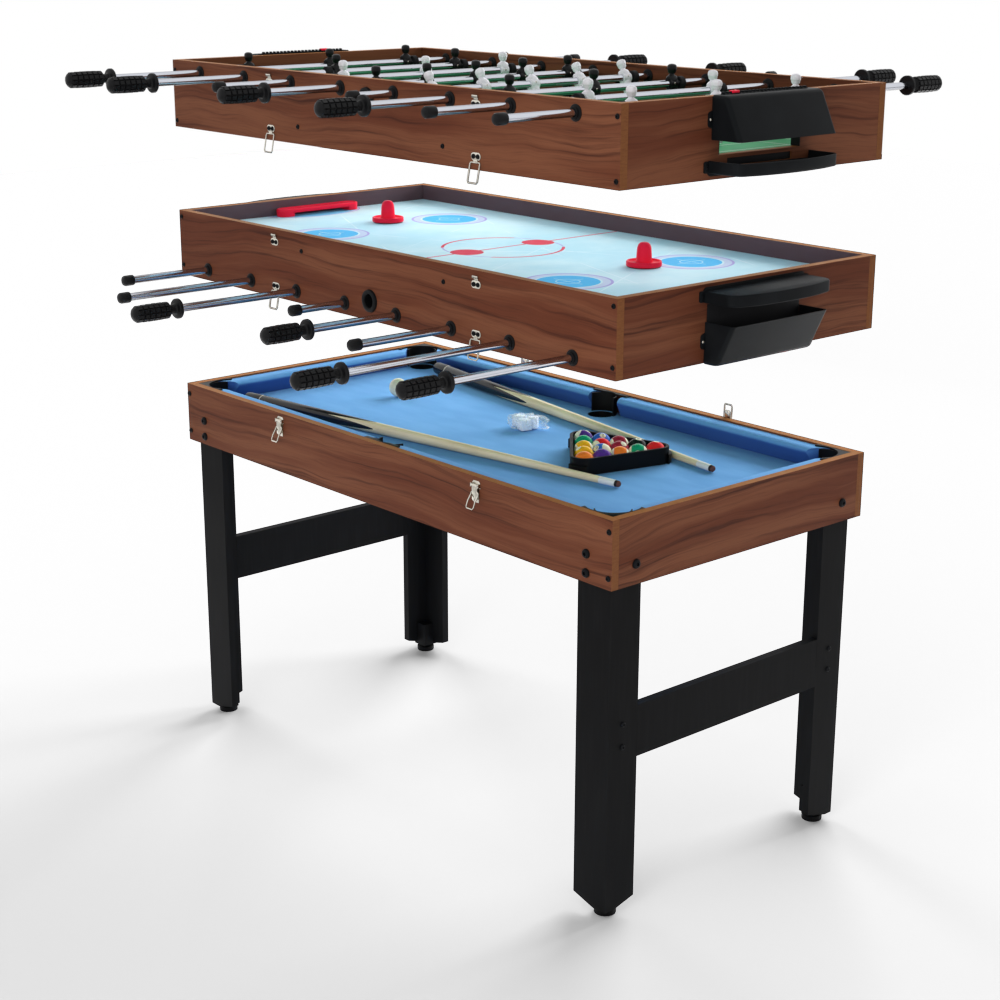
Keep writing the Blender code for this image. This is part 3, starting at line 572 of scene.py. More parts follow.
PLATE_ARM, PLATE_WIDTH, SIDE_PLATE_HALF = 0.073, 0.010, 0.047
back_x, back_y = INSIDE_X - TOUCH, INSIDE_Y - TOUCH
for end_x in ENDS:
    for end_y in SIDES:
        middle = Vector((INSIDE_X - 0.0485, INSIDE_Y - 0.0485))
        tip = Vector((INSIDE_X - PLATE_ARM, INSIDE_Y - PLATE_WIDTH))
        start_deg = math.degrees(math.atan2(tip.y - middle.y, tip.x - middle.x))
        curve = arc(middle, (tip - middle).length, start_deg, 90 - start_deg, 24)
        tips = [(INSIDE_X - PLATE_ARM, back_y), (back_x, back_y), (back_x, INSIDE_Y - PLATE_ARM)]
        outline = [(end_x * px, end_y * py) for px, py in tips + curve[::-1]]
        centre = (end_x * (INSIDE_X - CORNER_INSET), end_y * (INSIDE_Y - CORNER_INSET))
        open_deg = math.degrees(math.atan2(end_y, end_x))
        pocket(f"{SIDES[end_y]}_{ENDS[end_x]}_pocket", centre, open_deg, outline, 92)
for end_y, label in SIDES.items():
    y = INSIDE_Y - SIDE_INSET
    start_deg = math.degrees(math.asin((INSIDE_Y - PLATE_WIDTH - y) / POCKET_BAY))
    bay = arc((0, y), POCKET_BAY - 0.0005, start_deg, 180 - start_deg, 16)
    tips = mirrored([(-SIDE_PLATE_HALF, INSIDE_Y - PLATE_WIDTH), (-SIDE_PLATE_HALF, back_y)])
    outline = [(px, end_y * py) for px, py in tips + bay]
    pocket(f"{label}_side_pocket", (0, end_y * y), 90 * end_y, outline, 84)


# Bolts and latches
# Black pan-head bolts hold the legs through the aprons, and small black screws hold the corners.
# Four nickel toggle latches sit on the long aprons: two hang, and two stand with the loop up.


def nickel_plate():
    """Nickel plate, a little clouded and brushed, with painted shade where it faces down or sideways."""
    finish = Finish("nickel", metallic=1.0)
    east, north, up = finish.facing()
    brushed = finish.cloud(300)
    bright, dull, shaded = [tuple(part * share for part in (0.74, 0.70, 0.61)) for share in (1, 0.72, 0.30)]
    shade = finish.mix(finish.cloud(35).rise(0.4, 0.8) * 0.5, bright, dull)
    # Painted shade: darker where the plate faces down, and again where it faces along X.
    shade = finish.mix(up.fall(-0.9, 0.35) * 0.75, shade, shaded)
    finish.set("Base Color", finish.mix(abs(east).rise(0.45, 0.95) * 0.45, shade, shaded))
    finish.set("Roughness", 0.12 + brushed * 0.14)
    finish.bump(brushed, 0.00006, 0.2)
    return finish.material


black_steel = plastic("black_steel", (0.0030, 0.0035, 0.0045), 0.30, 0.45, specular=0.10)
nickel = nickel_plate()

# A screw's domed head with its socket: (radius, height) as shares of the head's.
SCREW_DOME = ((0, 0.45), (0.36, 0.45), (0.42, 1.0), (0.70, 0.94), (0.92, 0.60), (1.0, 0.22))
# Stands a flat outline up: its Y points up, and its thickness back.
UPRIGHT = Matrix.Rotation(math.pi / 2, 4, "X")


def aimed(place, direction):
    """A matrix whose Z points the given way from the given place."""
    turn = Vector(direction).to_track_quat("Z", "Y").to_matrix().to_4x4()
    return Matrix.Translation(place) @ turn


def screw_head(shape, where, spot, direction, radius, material=black_steel, sides=20):
    """A domed head standing on a surface. The matrix places its spot and direction."""
    profile = [(radius * reach, radius * 0.62 * height) for reach, height in SCREW_DOME]
    place = aimed(where @ Vector(spot), where.to_3x3() @ Vector(direction))
    shape.turn([*profile, (radius, 0.0001)], material, place, sides)


half_length, half_width = apron_high.x, apron_high.y - ACROSS
BOLT, SMALL_SCREW = 0.0080, 0.0050
# Of each long apron's end: (distance from the middle, height over the lower edge, head's radius).
APRON_BOLTS = (
    (0.548, 0.048, BOLT), (0.548, 0.016, BOLT), (0.598, 0.095, SMALL_SCREW), (0.598, 0.019, SMALL_SCREW),
)
bolts = Shape("apron_bolts")
table = Matrix.Translation((0, ACROSS, apron_low.z))
for end_x in ENDS:
    for end_y in SIDES:
        for x, height, radius in APRON_BOLTS:
            screw_head(bolts, table, (end_x * x, end_y * half_width, height), (0, end_y, 0), radius)
        screw_head(bolts, table, (end_x * half_length, end_y * 0.252, 0.034), (end_x, 0, 0), BOLT)
bolts.done("table_base", "black_board")

brace_low, brace_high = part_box("left_brace")
brace_bolts = Shape("brace_bolts")
for end_x, label in ENDS.items():
    leg_low, leg_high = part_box(f"front_{label}_leg")
    outside = leg_high.x if end_x > 0 else leg_low.x
    for end_y in SIDES:
        for share in (0.28, 0.72):
            height = brace_low.z + share * (brace_high.z - brace_low.z)
            spot = (outside, ACROSS + end_y * (INSIDE_Y - 0.032), height)
            screw_head(brace_bolts, Matrix(), spot, (end_x, 0, 0), SMALL_SCREW)
brace_bolts.done("table_base", "black_board")

LATCH_X = 0.283
PIN_OUT, PIN_HEIGHT = 0.0033, 0.686
WIRE = 0.0013
LATCH_PLATE = mirrored([
    (0.0070, -0.030), (0.0070, -0.0062), (0.0101, -0.0046), (0.0101, 0.0040), (0.0070, 0.0075),
])
BARREL = ((0.0012, -0.0080), (0.0029, -0.0079), (0.0029, 0.0079), (0.0012, 0.0080))
TONGUE = mirrored([(-0.0068, -0.0010), (-0.0062, -0.0245), (-0.0040, -0.0268)])
latch_plates = Shape("latch_plates")
for end_y in (-1, 1):
    for end_x in (-1, 1):
        # X along the apron, Y out from it and Z up, from the middle of the pin.
        pin = (end_x * LATCH_X, ACROSS + end_y * (half_width + PIN_OUT), PIN_HEIGHT)
        where = Matrix.Translation(pin) @ half_turn(end_y)
        upright = where @ Matrix.Translation((0, -PIN_OUT, 0)) @ UPRIGHT
        latch_plates.slab(LATCH_PLATE, -0.0009, -0.0001, nickel, upright, edge=0.0003)
        for side in (1, -1):
            ear = where @ Matrix.Translation((side * 0.0092, 0, 0)) @ UPRIGHT
            low, high = (-0.0009, -0.0034, -0.0024), (0.0009, 0.0034, 0.0026)
            latch_plates.block(low, high, nickel, ear, edge=0.0003)
        # The front ones hang and the rear ones stand, as their mirror image.
        hanging = where @ Matrix.Diagonal((1, 1, -end_y, 1))
        name = f"{SIDES[end_y]}_{ENDS[end_x]}_latch"
        lever = Shape(name + "_lever")
        lever.turn(BARREL, nickel, hanging @ Matrix.Rotation(math.pi / 2, 4, "Y"), 20)
        flat = hanging @ UPRIGHT
        lever.slab(TONGUE, -0.0018, -0.0006, nickel, flat, edge=0.0003)
        rib = [(x * 0.55, y * 0.8 - 0.003) for x, y in TONGUE]
        lever.slab(rib, -0.0022, -0.0017, nickel, flat, edge=0.0002)
        # A bail that hangs in front bows out, below the part that folds over the apron's edge.
        bow = 1 if end_y < 0 else 0
        bail = [(-0.0030, 0.0008, -0.0088), (-0.0085, 0.0008, -0.0130), (-0.0090, 0.0016, -0.0165)]
        bail += [(-0.0090, 0.0019 + bow * 0.0063, -0.0265), (-0.0090, 0.0019 + bow * 0.0095, -0.0345)]
        bail += [(-0.0076, 0.0019 + bow * 0.0103, -0.0380)]
        lever.wire(mirrored(bail), WIRE, nickel, hanging)
        lever.done(name, "nickel", [name])
latch_plates.done("table_base", "nickel")


# Balls, rack, cues and chalk
# Fifteen polished resin balls stand in a black plastic triangle, with the cue ball and two maple
# cues beside them. The cues' black butts run into the shaft in long points.

BALL_RADIUS = 0.0184
BALL_PITCH = 0.0368
BALL_CREAM = (0.90, 0.85, 0.68)
BALL_COLOURS = {
    1: (0.96, 0.50, 0.02),
    2: (0.03, 0.14, 0.62),
    3: (0.86, 0.020, 0.03),
    4: (0.10, 0.03, 0.30),
    5: (0.96, 0.22, 0.03),
    6: (0.01, 0.34, 0.17),
    7: (0.36, 0.020, 0.05),
    8: (0.012, 0.012, 0.014),
}
# Rows of the rack, from the five at the left to the one at its point.
RACK_ROWS = ((3,), (14, 8), (13, 7, 15), (4, 10, 11, 2), (5, 1, 9, 6, 12))


def distance(x, y, centre=(0, 0)):
    """The shader's distance from a point in the plane."""
    east, north = x - centre[0], y - centre[1]
    return (east * east + north * north) ** 0.5


def resin(name, colour, striped):
    """Polished resin: one colour, or cream with a broad band, and a cream spot for the number."""
    finish = Finish(name, coat=0.1, specular=0.25)
    x, y, z = finish.place()
    cloud = finish.cloud(55)
    shade = finish.mix(cloud * 0.25, colour, tuple(part * 0.8 for part in colour))
    if striped:
        shade = finish.mix(abs(x).fall(0.0112, 0.0114), BALL_CREAM, shade)
    finish.set("Base Color", finish.mix(distance(x, y).fall(0.0056, 0.0058), shade, BALL_CREAM))
    finish.set("Roughness", 0.05 + cloud * 0.08)
    return finish.material


def round_ball(name, material, where, radius=BALL_RADIUS, replaced=()):
    """A ball as its own piece, with its marks turned as the matrix says."""
    ball = Shape(name)
    steps = 24
    profile = [(0, -radius)]
    for angle in [math.pi * n / steps for n in range(1, steps)]:
        profile.append((radius * math.sin(angle), -radius * math.cos(angle)))
    ball.turn([*profile, (0, radius)], material, sides=48)
    ball.done("table_base", "ball_resin", replaced, place=where)


def number_on(name, number, material, where):
    """The ball's number, laid on both of its spots."""
    writing = bpy.data.curves.new(name, "FONT")
    writing.body = str(number)
    writing.size = 0.0088
    writing.align_x = writing.align_y = "CENTER"
    source = bpy.data.objects.new(name + "_text", writing)
    bpy.context.scene.collection.objects.link(source)
    bpy.context.view_layer.update()
    flat = bpy.data.meshes.new_from_object(source.evaluated_get(bpy.context.evaluated_depsgraph_get()))
    bpy.data.objects.remove(source)
    figures = Shape(name)
    for side in (1, -1):
        points = []
        for vert in flat.vertices:
            ahead = Vector((vert.co.x, vert.co.y, BALL_RADIUS)).normalized()
            spot = ahead * (BALL_RADIUS + 0.00008)
            points.append(figures.form.verts.new((spot.x * side, spot.y, spot.z * side)))
        faces = [figures.form.faces.new([points[n] for n in face.vertices]) for face in flat.polygons]
        figures.take(faces, material)
    figures.done("table_base", "ball_resin", place=where, outward=False)


ink = plastic("ball_ink", (0.01, 0.01, 0.012), 0.1, 0.2)
RACK_TURN = math.radians(47)
rack_place = Vector((0.25247, ACROSS + 0.0280, BED_TOP + TOUCH))
rack_frame = Matrix.Translation(rack_place) @ Matrix.Rotation(RACK_TURN, 4, "Z")
luck = random.Random(11)
for row, numbers in enumerate(RACK_ROWS):
    for n, number in enumerate(numbers):
        spot = ((8 / 3 - row) * BALL_PITCH * math.sqrt(3) / 2, (n - row / 2) * BALL_PITCH, BALL_RADIUS)
        colour = BALL_COLOURS[number if number < 9 else number - 8]
        finish = resin(f"ball_{number}_resin", colour, striped=number > 8)
        tilt = Matrix.Rotation(luck.uniform(-1.5, 1.5), 4, "X")
        tilt = tilt @ Matrix.Rotation(luck.uniform(-0.7, 0.7), 4, "Y")
        where = rack_frame @ Matrix.Translation(spot) @ tilt
        round_ball(f"ball_{number}", finish, where, replaced=["racked_balls"])
        number_on(f"ball_{number}_number", number, ink, where)

# Sections of the rack's wall and of the lug round each corner: (offset outwards, height).
RACK_WALL = (
    (0.0, 0.0), (0.0055, 0.0), (0.0060, 0.0006), (0.0060, 0.0290),
    (0.0050, 0.0300), (0.0010, 0.0300), (0.0, 0.0290),
)
RACK_LUG = (
    (0.0, 0.0004), (0.0100, 0.0004), (0.0106, 0.0012), (0.0106, 0.0170), (0.0096, 0.0180), (0.0, 0.0180),
)
apex = 4 * BALL_PITCH / math.sqrt(3)
corners = [(apex * math.cos(math.radians(a)), apex * math.sin(math.radians(a)), a) for a in (0, 120, 240)]


def rack_line(ends, radius, half_deg):
    """A line round the rack's corners, at one distance from the middle of the ball in each."""
    return [point for x, y, a in ends for point in arc((x, y), radius, a - half_deg, a + half_deg, 10)]


rack = Shape("triangle_rack")
parts = [(corners, RACK_WALL, 0.0187, 60)] + [([corner], RACK_LUG, 0.0190, 38) for corner in corners]
for ends, section, radius, half_deg in parts:
    rings = []
    for offset, height in section:
        rings.append([(x, y, height) for x, y in rack_line(ends, radius + offset, half_deg)])
    rack.skin(rings, black_plastic, rack_frame, looped=True)
rack.done("table_base", "black_plastic", ["racked_balls"])


def ivory_resin():
    """Polished ivory resin, faintly clouded."""
    finish = Finish("ivory_resin", coat=0.15, specular=0.3)
    cloud = finish.cloud(70, 3)
    finish.set("Base Color", finish.mix(cloud.rise(0.3, 0.7), (0.80, 0.76, 0.60), (0.70, 0.66, 0.50)))
    finish.set("Roughness", 0.08 + cloud * 0.1)
    return finish.material


cue_ball_low, cue_ball_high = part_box("cue_ball")
cue_spot = Matrix.Translation((cue_ball_low + cue_ball_high) / 2)
round_ball("white_ball", ivory_resin(), cue_spot, radius=0.0189, replaced=["cue_ball"])


def cue_wood():
    """Lacquered maple with a black butt in four long points, a white ferrule and a leather tip."""
    finish = Finish("cue_wood", coat=0.15, specular=0.3)
    x, y, along = finish.place()
    grain = finish.noise((x * 500, y * 500, along * 14), 1.0, 4)
    cloud = finish.noise((x * 60, y * 60, along * 6), 1.0, 3)
    wood = finish.mix(cloud.rise(0.3, 0.7), (0.90, 0.78, 0.53), (0.82, 0.66, 0.40))
    wood = finish.mix(grain.rise(0.5, 0.8) * 0.22, wood, (0.55, 0.36, 0.18))
    points = abs(x * x - y * y) / (x * x + y * y + 1e-9)
    edge = along - 0.235 - points * 0.12
    wood = finish.mix(abs(edge).fall(0.0, 0.010), wood, (0.88, 0.76, 0.50))
    wood = finish.mix(edge.fall(-0.0045, -0.0035), wood, (0.007, 0.007, 0.008))
    wood = finish.mix((along - 0.045).line(0.0022), wood, (0.55, 0.5, 0.4))
    ferrule, pad, tip = (0.85, 0.85, 0.82), (0.012, 0.010, 0.012), (0.13, 0.05, 0.04)
    for start, stop, colour in ((0.8712, 0.8716, ferrule), (0.9044, 0.9046, pad), (0.9095, 0.9097, tip)):
        wood = finish.mix(along.rise(start, stop), wood, colour)
    finish.set("Base Color", wood)
    finish.set("Roughness", 0.18 + grain * 0.12 + along.rise(0.904, 0.906) * 0.5)
    return finish.material


maple = cue_wood()
CUE_LENGTH, BUTT, TIP = 0.914, 0.0135, 0.0062
CUE = (
    (0, 0.0002), (0.0085, 0.0004), (0.0122, 0.0030), (0.0133, 0.0100), (0.0132, 0.0440), (0.0130, 0.0450),
    (0.0132, 0.0460), (0.0116, 0.25), (0.0100, 0.45), (0.0080, 0.68), (0.0061, 0.871), (0.0062, 0.872),
    (0.0060, 0.9043), (0.0059, 0.9050), (0.0056, 0.9105), (0.0036, 0.9132), (0, 0.9138),
)
for name, tip, butt in (
    ("front_cue", (0.6446, -0.2459), (-0.8460, -0.7420)),
    ("rear_cue", (0.7107, 0.3770), (-0.7874, 0.7633)),
):
    start = Vector((butt[0] * half_length, ACROSS + butt[1] * half_width, BED_TOP + TOUCH + BUTT))
    ahead = Vector((tip[0] * half_length - start.x, ACROSS + tip[1] * half_width - start.y, 0)).normalized()
    fall = (BUTT - TIP) / CUE_LENGTH
    ahead = ahead * math.cos(fall) - Vector((0, 0, math.sin(fall)))
    shaft = Shape(name + "_shaft")
    shaft.turn(CUE, maple, sides=40)
    shaft.done("table_base", "maple", [name], place=aimed(start, ahead))


def clear_film():
    """Crumpled clear film: nearly nothing face on, with painted highlights along its creases and a painted
    sheen towards its grazing edges.
    """
    finish = Finish("clear_film", roughness=0.10, specular=0.9)
    crease = finish.cloud(120, 4, 0.6)
    edge = finish.node("ShaderNodeLayerWeight", sockets={"Blend": 0.30}, output="Facing")
    painted_crease_highlight = abs(crease - 0.5).fall(0.0, 0.035)
    finish.set("Base Color", (0.93, 0.96, 1.0))
    # Painted highlight and sheen: the white film shows more along its creases and where it is seen edge on.
    finish.set("Alpha", (painted_crease_highlight * 0.35 + edge * 0.40 + 0.06).smallest(0.9))
    finish.bump(crease, 0.0015, 0.6)
    return finish.material


def chalk():
    """Chalk in its paper wrapper, dusty."""
    finish = Finish("chalk_paper", roughness=0.8, specular=0.2)
    dust = finish.cloud(220, 4)
    finish.set("Base Color", finish.mix(dust.rise(0.35, 0.7), (0.74, 0.83, 0.98), (0.90, 0.94, 1.0)))
    finish.bump(dust, 0.0004, 0.4)
    return finish.material


CHALK_PLACE = Vector((-0.010, ACROSS + 0.075, BED_TOP + 0.0006))
cubes = Shape("chalk_cubes")
chalk_finish = chalk()
for shift, turn_deg in (((-0.022, -0.004), 12), ((0.004, 0.006), 40), ((0.006, -0.016), 75)):
    turn = Matrix.Rotation(math.radians(turn_deg), 4, "Z")
    where = Matrix.Translation(CHALK_PLACE + Vector((*shift, 0.0010))) @ turn
    cubes.block((-0.0105, -0.0105, 0), (0.0105, 0.0105, 0.0200), chalk_finish, where, edge=0.0012)
cubes.done("table_base", "ivory")

bag = Shape("chalk_bag")
rows, around = 7, 18
rings = []
for n in range(rows + 1):
    share = n / rows
    angle = math.pi * share
    ring = []
    for k in range(around):
        turn = 2 * math.pi * k / around
        reach = math.sin(angle) ** 0.6 if 0 < n < rows else 0
        stretch = 1 + 0.18 * math.cos(3 * turn + 0.6) + 0.10 * math.cos(7 * turn + share * 5)
        crumple = 1 + 0.16 * luck.uniform(-1, 1)
        x = 0.040 * reach * stretch * crumple * math.cos(turn)
        y = 0.027 * reach * stretch * crumple * math.sin(turn)
        height = 0.0135 - 0.0135 * math.cos(angle) + 0.0040 * luck.uniform(-0.6, 1) * math.sin(angle)
        ring.append((x - 0.004, y - 0.004, height))
    rings.append(ring if reach else [ring[0]])
bag.skin(rings, clear_film(), Matrix.Translation(CHALK_PLACE) @ Matrix.Rotation(math.radians(35), 4, "Z"))
bag.done("table_base", "ivory", sharp_deg=20)


# Game box fittings
# Both boxes are one and the same, here once with its football field up and once turned over, with
# its hockey rink up. Each long panel carries nickel catches, black bushes for the rods and a ring
# for the ball, and each end wall a black goal frame on the field side and a red goal on the rink's.

BOX_HALF = 0.0625
PANEL = 0.015
GOAL_HALF, GOAL_LOW, GOAL_HIGH, GOAL_BEND = 0.095, -0.0265, 0.0215, 0.018
ROD_HEIGHT, ENTRY_HEIGHT = BOX_HALF - 0.020, BOX_HALF - 0.034
ROD_RADIUS = 0.00635
ROD_X = [(n - 3.5) * (2 * half_length - 2 * 0.095) / 7 for n in range(8)]
inner_length, inner_width = half_length - PANEL, half_width - PANEL
box_frames = {}
for tier in ("foosball", "hockey"):
    panel_low, panel_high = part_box(f"{tier}_front_panel")
    middle = Matrix.Translation((0, ACROSS, (panel_low.z + panel_high.z) / 2))
    box_frames[tier] = middle @ Matrix.Rotation(math.pi if tier == "hockey" else 0, 4, "X")

black_rubber = plastic("black_rubber", (0.007, 0.007, 0.008), 0.55, 0.75, grain=0.0003, specular=0.15)
red_plastic = plastic("red_plastic", (0.90, 0.014, 0.048), 0.26, 0.38, specular=0.12)

CATCH_PLATE = arc((-0.0052, 0), 0.0066, 110, 250, 6) + arc((0.0052, 0), 0.0066, -70, 70, 6)
CATCH_LOOP = mirrored([
    (-0.0045, 0.0015, -0.0095), (-0.0105, 0.0019, -0.0095), (-0.0118, 0.0026, -0.0120),
    (-0.0118, 0.0080, -0.0385), (-0.0098, 0.0085, -0.0412),
])
# The hook of a catch, as blocks: (half width, nearest, lowest, farthest, highest, edge).
CATCH_HOOK = (
    (0.0048, 0.0001, 0.0045, 0.0011, 0.0110, 0.0003),
    (0.0068, 0.0001, 0.0100, 0.0040, 0.0120, 0.0005),
    (0.0068, 0.0030, 0.0100, 0.0040, 0.0145, 0.0004),
)


def catches(shape, where):
    """On one long face, with X along it and Y out of it: hook plates on top, loops below."""
    for x in (-LATCH_X, LATCH_X):
        for height in (BOX_HALF - 0.023, 0.021 - BOX_HALF):
            spot = where @ Matrix.Translation((x, 0, height))
            shape.slab(CATCH_PLATE, -0.0012, -0.0001, nickel, spot @ UPRIGHT, edge=0.0003)
            for screw_x in (-0.0054, 0.0054):
                screw_head(shape, spot, (screw_x, 0.0011, 0), (0, 1, 0), 0.0041)
            if height < 0:
                shape.block((-0.0050, 0.0002, -0.0105), (0.0050, 0.0022, -0.0050), nickel, spot, edge=0.0004)
                shape.wire(CATCH_LOOP, WIRE, nickel, spot, closed=True)
                continue
            for half, near, low, far, high, edge in CATCH_HOOK:
                shape.block((-half, near, low), (half, far, high), nickel, spot, edge=edge)


def bush(shape, where, depth):
    """A flanged ring round a rod, standing out along Z from the face of a panel."""
    bore = ROD_RADIUS + 0.0004
    profile = [(bore, 0.0001), (0.0130, 0.0001), (0.0130, 0.0014), (0.0120, 0.0024), (0.0098, 0.0028)]
    profile += [(0.0092, depth - 0.0004), (0.0084, depth), (bore, depth), (bore, 0.0001)]
    shape.turn(profile, black_plastic, where, sides=28)


def entry_ring(shape, where):
    """The lined hole that the ball is dropped through, lipped on the outside."""
    profile = [(0.0120, -PANEL), (0.0120, 0.0028), (0.0132, 0.0044), (0.0160, 0.0048), (0.0192, 0.0036)]
    profile += [(0.0202, 0.0001), (0.0128, 0.0001), (0.0128, -PANEL), (0.0120, -PANEL)]
    shape.turn(profile, black_plastic, where, sides=36)


def round_ended(half, radius, middle):
    """A round-ended outline across the box, with its middle line at a depth from the wall."""
    right_end = arc((half - radius, middle), radius, -90, 90, 12)
    return right_end + [(-x, 2 * middle - y) for x, y in right_end]


BRIDGE_HALF, BRIDGE_DEPTH, BRIDGE_TOP, BRIDGE_GAP = 0.0970, 0.034, 0.0150, 0.0075
SLIT_HALF, SLIT_RADIUS, FOOT_LENGTH = 0.0640, 0.0024, 0.029
# The plate's rim from below: (inset, height).
BRIDGE_RIM = (
    (0.0004, BRIDGE_GAP), (0.0, BRIDGE_GAP + 0.0006), (0.0, BRIDGE_TOP - 0.0016),
    (0.0007, BRIDGE_TOP - 0.0004), (0.0018, BRIDGE_TOP), (0.0042, BRIDGE_TOP), (0.0050, BRIDGE_TOP - 0.0010),
)


def bridge(name, body, box, end_x):
    """The red goal on the rink: a slotted plate on two round feet, with room for the puck below."""
    made = Shape(name)
    # From the foot of the wall: X across, Y out of the box, Z up from the rink.
    corner = (end_x * inner_length, 0, RINK_WALL - BOX_HALF)
    turn = Matrix(((0, end_x, 0, 0), (1, 0, 0, 0), (0, 0, -1, 0), (0, 0, 0, 1)))
    where = box @ Matrix.Translation(corner) @ turn
    radius, middle = BRIDGE_DEPTH / 2, -BRIDGE_DEPTH / 2 - 0.0004
    rings = []
    for inset, height in BRIDGE_RIM:
        rings.append((round_ended(BRIDGE_HALF - inset, radius - inset, middle), height))
    slit = round_ended(SLIT_HALF, SLIT_RADIUS, middle)
    rings += [(slit, BRIDGE_TOP - 0.0010), (slit, BRIDGE_GAP)]
    made.skin([[(x, y, height) for x, y in line] for line, height in rings], red_plastic, where, looped=True)
    for side in (1, -1):
        half = radius - TOUCH
        end = arc((BRIDGE_HALF - radius, middle), half, -90, 90, 12)
        cut = BRIDGE_HALF - FOOT_LENGTH
        foot = [(side * x, y) for x, y in [*end, (cut, middle + half), (cut, middle - half)]]
        made.slab(foot, 0.0002, BRIDGE_GAP + 0.0002, red_plastic, where, edge=0.0005)
    made.done(body, "red_plastic", sharp_deg=50)


def goal_arch(grow):
    """The goal's opening, from one foot over the top to the other, grown by a margin."""
    half, top, bend = GOAL_HALF + grow, GOAL_HIGH + grow, GOAL_BEND + grow
    return mirrored([(half, GOAL_LOW + TOUCH), *arc((half - bend, top - bend), bend, 0, 90, 8)])


def end_wall(end_x, reach):
    """At an end of a box, seen along it from its middle: X across, Y up, Z outwards."""
    return Matrix(((0, 0, end_x, end_x * reach), (1, 0, 0, 0), (0, 1, 0, 0), (0, 0, 0, 1)))


# Of each half of a long panel: (distance from the middle, height).
PANEL_SCREWS = ((0.200, -0.0325), (0.598, 0.0435), (0.598, -0.0505))
for tier, box in box_frames.items():
    body = f"{tier}_box"
    steel = Shape(f"{tier}_catches")
    rings = Shape(f"{tier}_bushes")
    for end_y in SIDES:
        face = Matrix.Translation((0, ACROSS + end_y * half_width, box.translation.z)) @ half_turn(end_y)
        catches(steel, face)
        for end_x in ENDS:
            for x, height in PANEL_SCREWS:
                spot = (end_x * x, end_y * half_width, height)
                screw_head(rings, box, spot, (0, end_y, 0), SMALL_SCREW * 0.85)
        for x in ROD_X:
            bush(rings, box @ aimed((x, end_y * half_width, ROD_HEIGHT), (0, end_y, 0)), 0.0060)
            bush(rings, box @ aimed((x, end_y * inner_width, ROD_HEIGHT), (0, -end_y, 0)), 0.0028)
        entry_ring(rings, box @ aimed((0, end_y * half_width, ENTRY_HEIGHT), (0, end_y, 0)))
    steel.done(body, "nickel")
    rings.done(body, "black_plastic")
    for end_x, label in ENDS.items():
        goal = Shape(f"{tier}_{label}_goal_frame")
        wall = box @ end_wall(end_x, inner_length - 0.0001)
        goal.slab(goal_arch(0.0085) + goal_arch(0.0002)[::-1], -0.0045, 0.0, black_plastic, wall, edge=0.0008)
        goal.slab(goal_arch(-0.0002) + goal_arch(-0.0016)[::-1], -0.0030, PANEL, black_plastic, wall)
        # Flaps: one behind the goal where no ball is caught, and one behind the slot for the puck. Both are
        # black sheets that stand in for the shade inside the box.
        shade_flaps = [(0.0787, -0.0442, -0.0328, PANEL - 0.0035)]
        if tier == "hockey":
            shade_flaps.append((0.1095, -0.0300, 0.0480, PANEL + 0.0008))
        for half, low, high, depth in shade_flaps:
            goal.block((-half, low, depth), (half, high, depth + 0.0010), black_rubber, wall, edge=0.0003)
        goal.done(body, "black_plastic")
        bridge(f"{tier}_{label}_puck_bridge", body, box, end_x)


# Scorer hoods and ball trays
# Outside each goal, a moulded black hood with a score comb along its top is screwed over the
# opening, and a curved tray under it catches the balls. Turned over, the tray is on top.

HOOD_HALF, HOOD_REACH, HOOD_LEDGE = 0.113, 0.060, 0.028
HOOD_TOP, HOOD_LOW = BOX_HALF + 0.002, BOX_HALF - 0.065
HOOD_WALL, HOOD_BEND = 0.0026, 0.012
HOOD_SLOPE = math.atan2(HOOD_TOP - HOOD_LOW, HOOD_REACH - HOOD_LEDGE)
TRAY_HALF, TRAY_REACH = 0.118, 0.078
TRAY_LOW, TRAY_TOP = -BOX_HALF + 0.010, -BOX_HALF + 0.029
TRAY_FLOOR = TRAY_LOW + 0.0028
COMB_HALF, COMB_TEETH, TOOTH_HALF = 0.094, 23, 0.0018
# One side's ear of the hood and of the tray, and the plate behind the tray, in the panel's face.
HOOD_EAR = (
    (HOOD_HALF - 0.001, 0.014), (HOOD_HALF + 0.0070, 0.017), (HOOD_HALF + 0.0090, 0.020),
    (HOOD_HALF + 0.0090, 0.036), (HOOD_HALF + 0.0070, 0.039), (HOOD_HALF - 0.001, 0.042),
)
TRAY_EAR = (
    (TRAY_HALF - 0.001, TRAY_LOW + 0.0004), (TRAY_HALF + 0.0085, TRAY_LOW + 0.0004),
    (TRAY_HALF + 0.0100, TRAY_LOW + 0.0020), (TRAY_HALF + 0.0100, TRAY_TOP - 0.0030),
    (TRAY_HALF + 0.0080, TRAY_TOP - 0.0008), (TRAY_HALF - 0.001, TRAY_TOP - 0.0008),
)
BACK_PLATE = mirrored(arc((0.112, -0.0495), 0.0080, -90, 0, 6) + [(0.120, -0.0450)])
# The tray's shell from under its floor, over the rim and down inside: (shrink, height).
TRAY_SHELL = (
    (0.0025, TRAY_LOW), (0.0007, TRAY_LOW + 0.0007), (0.0, TRAY_LOW + 0.0025), (0.0, TRAY_TOP - 0.0008),
    (0.0008, TRAY_TOP), (0.0022, TRAY_TOP), (0.0030, TRAY_TOP - 0.0008), (0.0036, TRAY_FLOOR + 0.0030),
    (0.0060, TRAY_FLOOR),
)


def moulded_black():
    """Textured black moulding, greyer in drifting patches, with a painted highlight on the tops of its
    pebbling.
    """
    finish = Finish("moulded_black", specular=0.06)
    pebble = finish.cloud(1600, 3)
    cloud = finish.cloud(18, 4)
    colour = finish.mix(cloud.rise(0.35, 0.8) * 0.6, (0.0045, 0.0052, 0.0060), (0.0110, 0.0125, 0.0140))
    # Painted highlight: the tops of the pebbling are paler.
    finish.set("Base Color", finish.mix(pebble.rise(0.55, 0.8) * 0.3, colour, (0.013, 0.014, 0.016)))
    finish.set("Roughness", 0.34 + cloud * 0.18)
    finish.bump(pebble, 0.0003, 0.35)
    return finish.material


moulding = moulded_black()


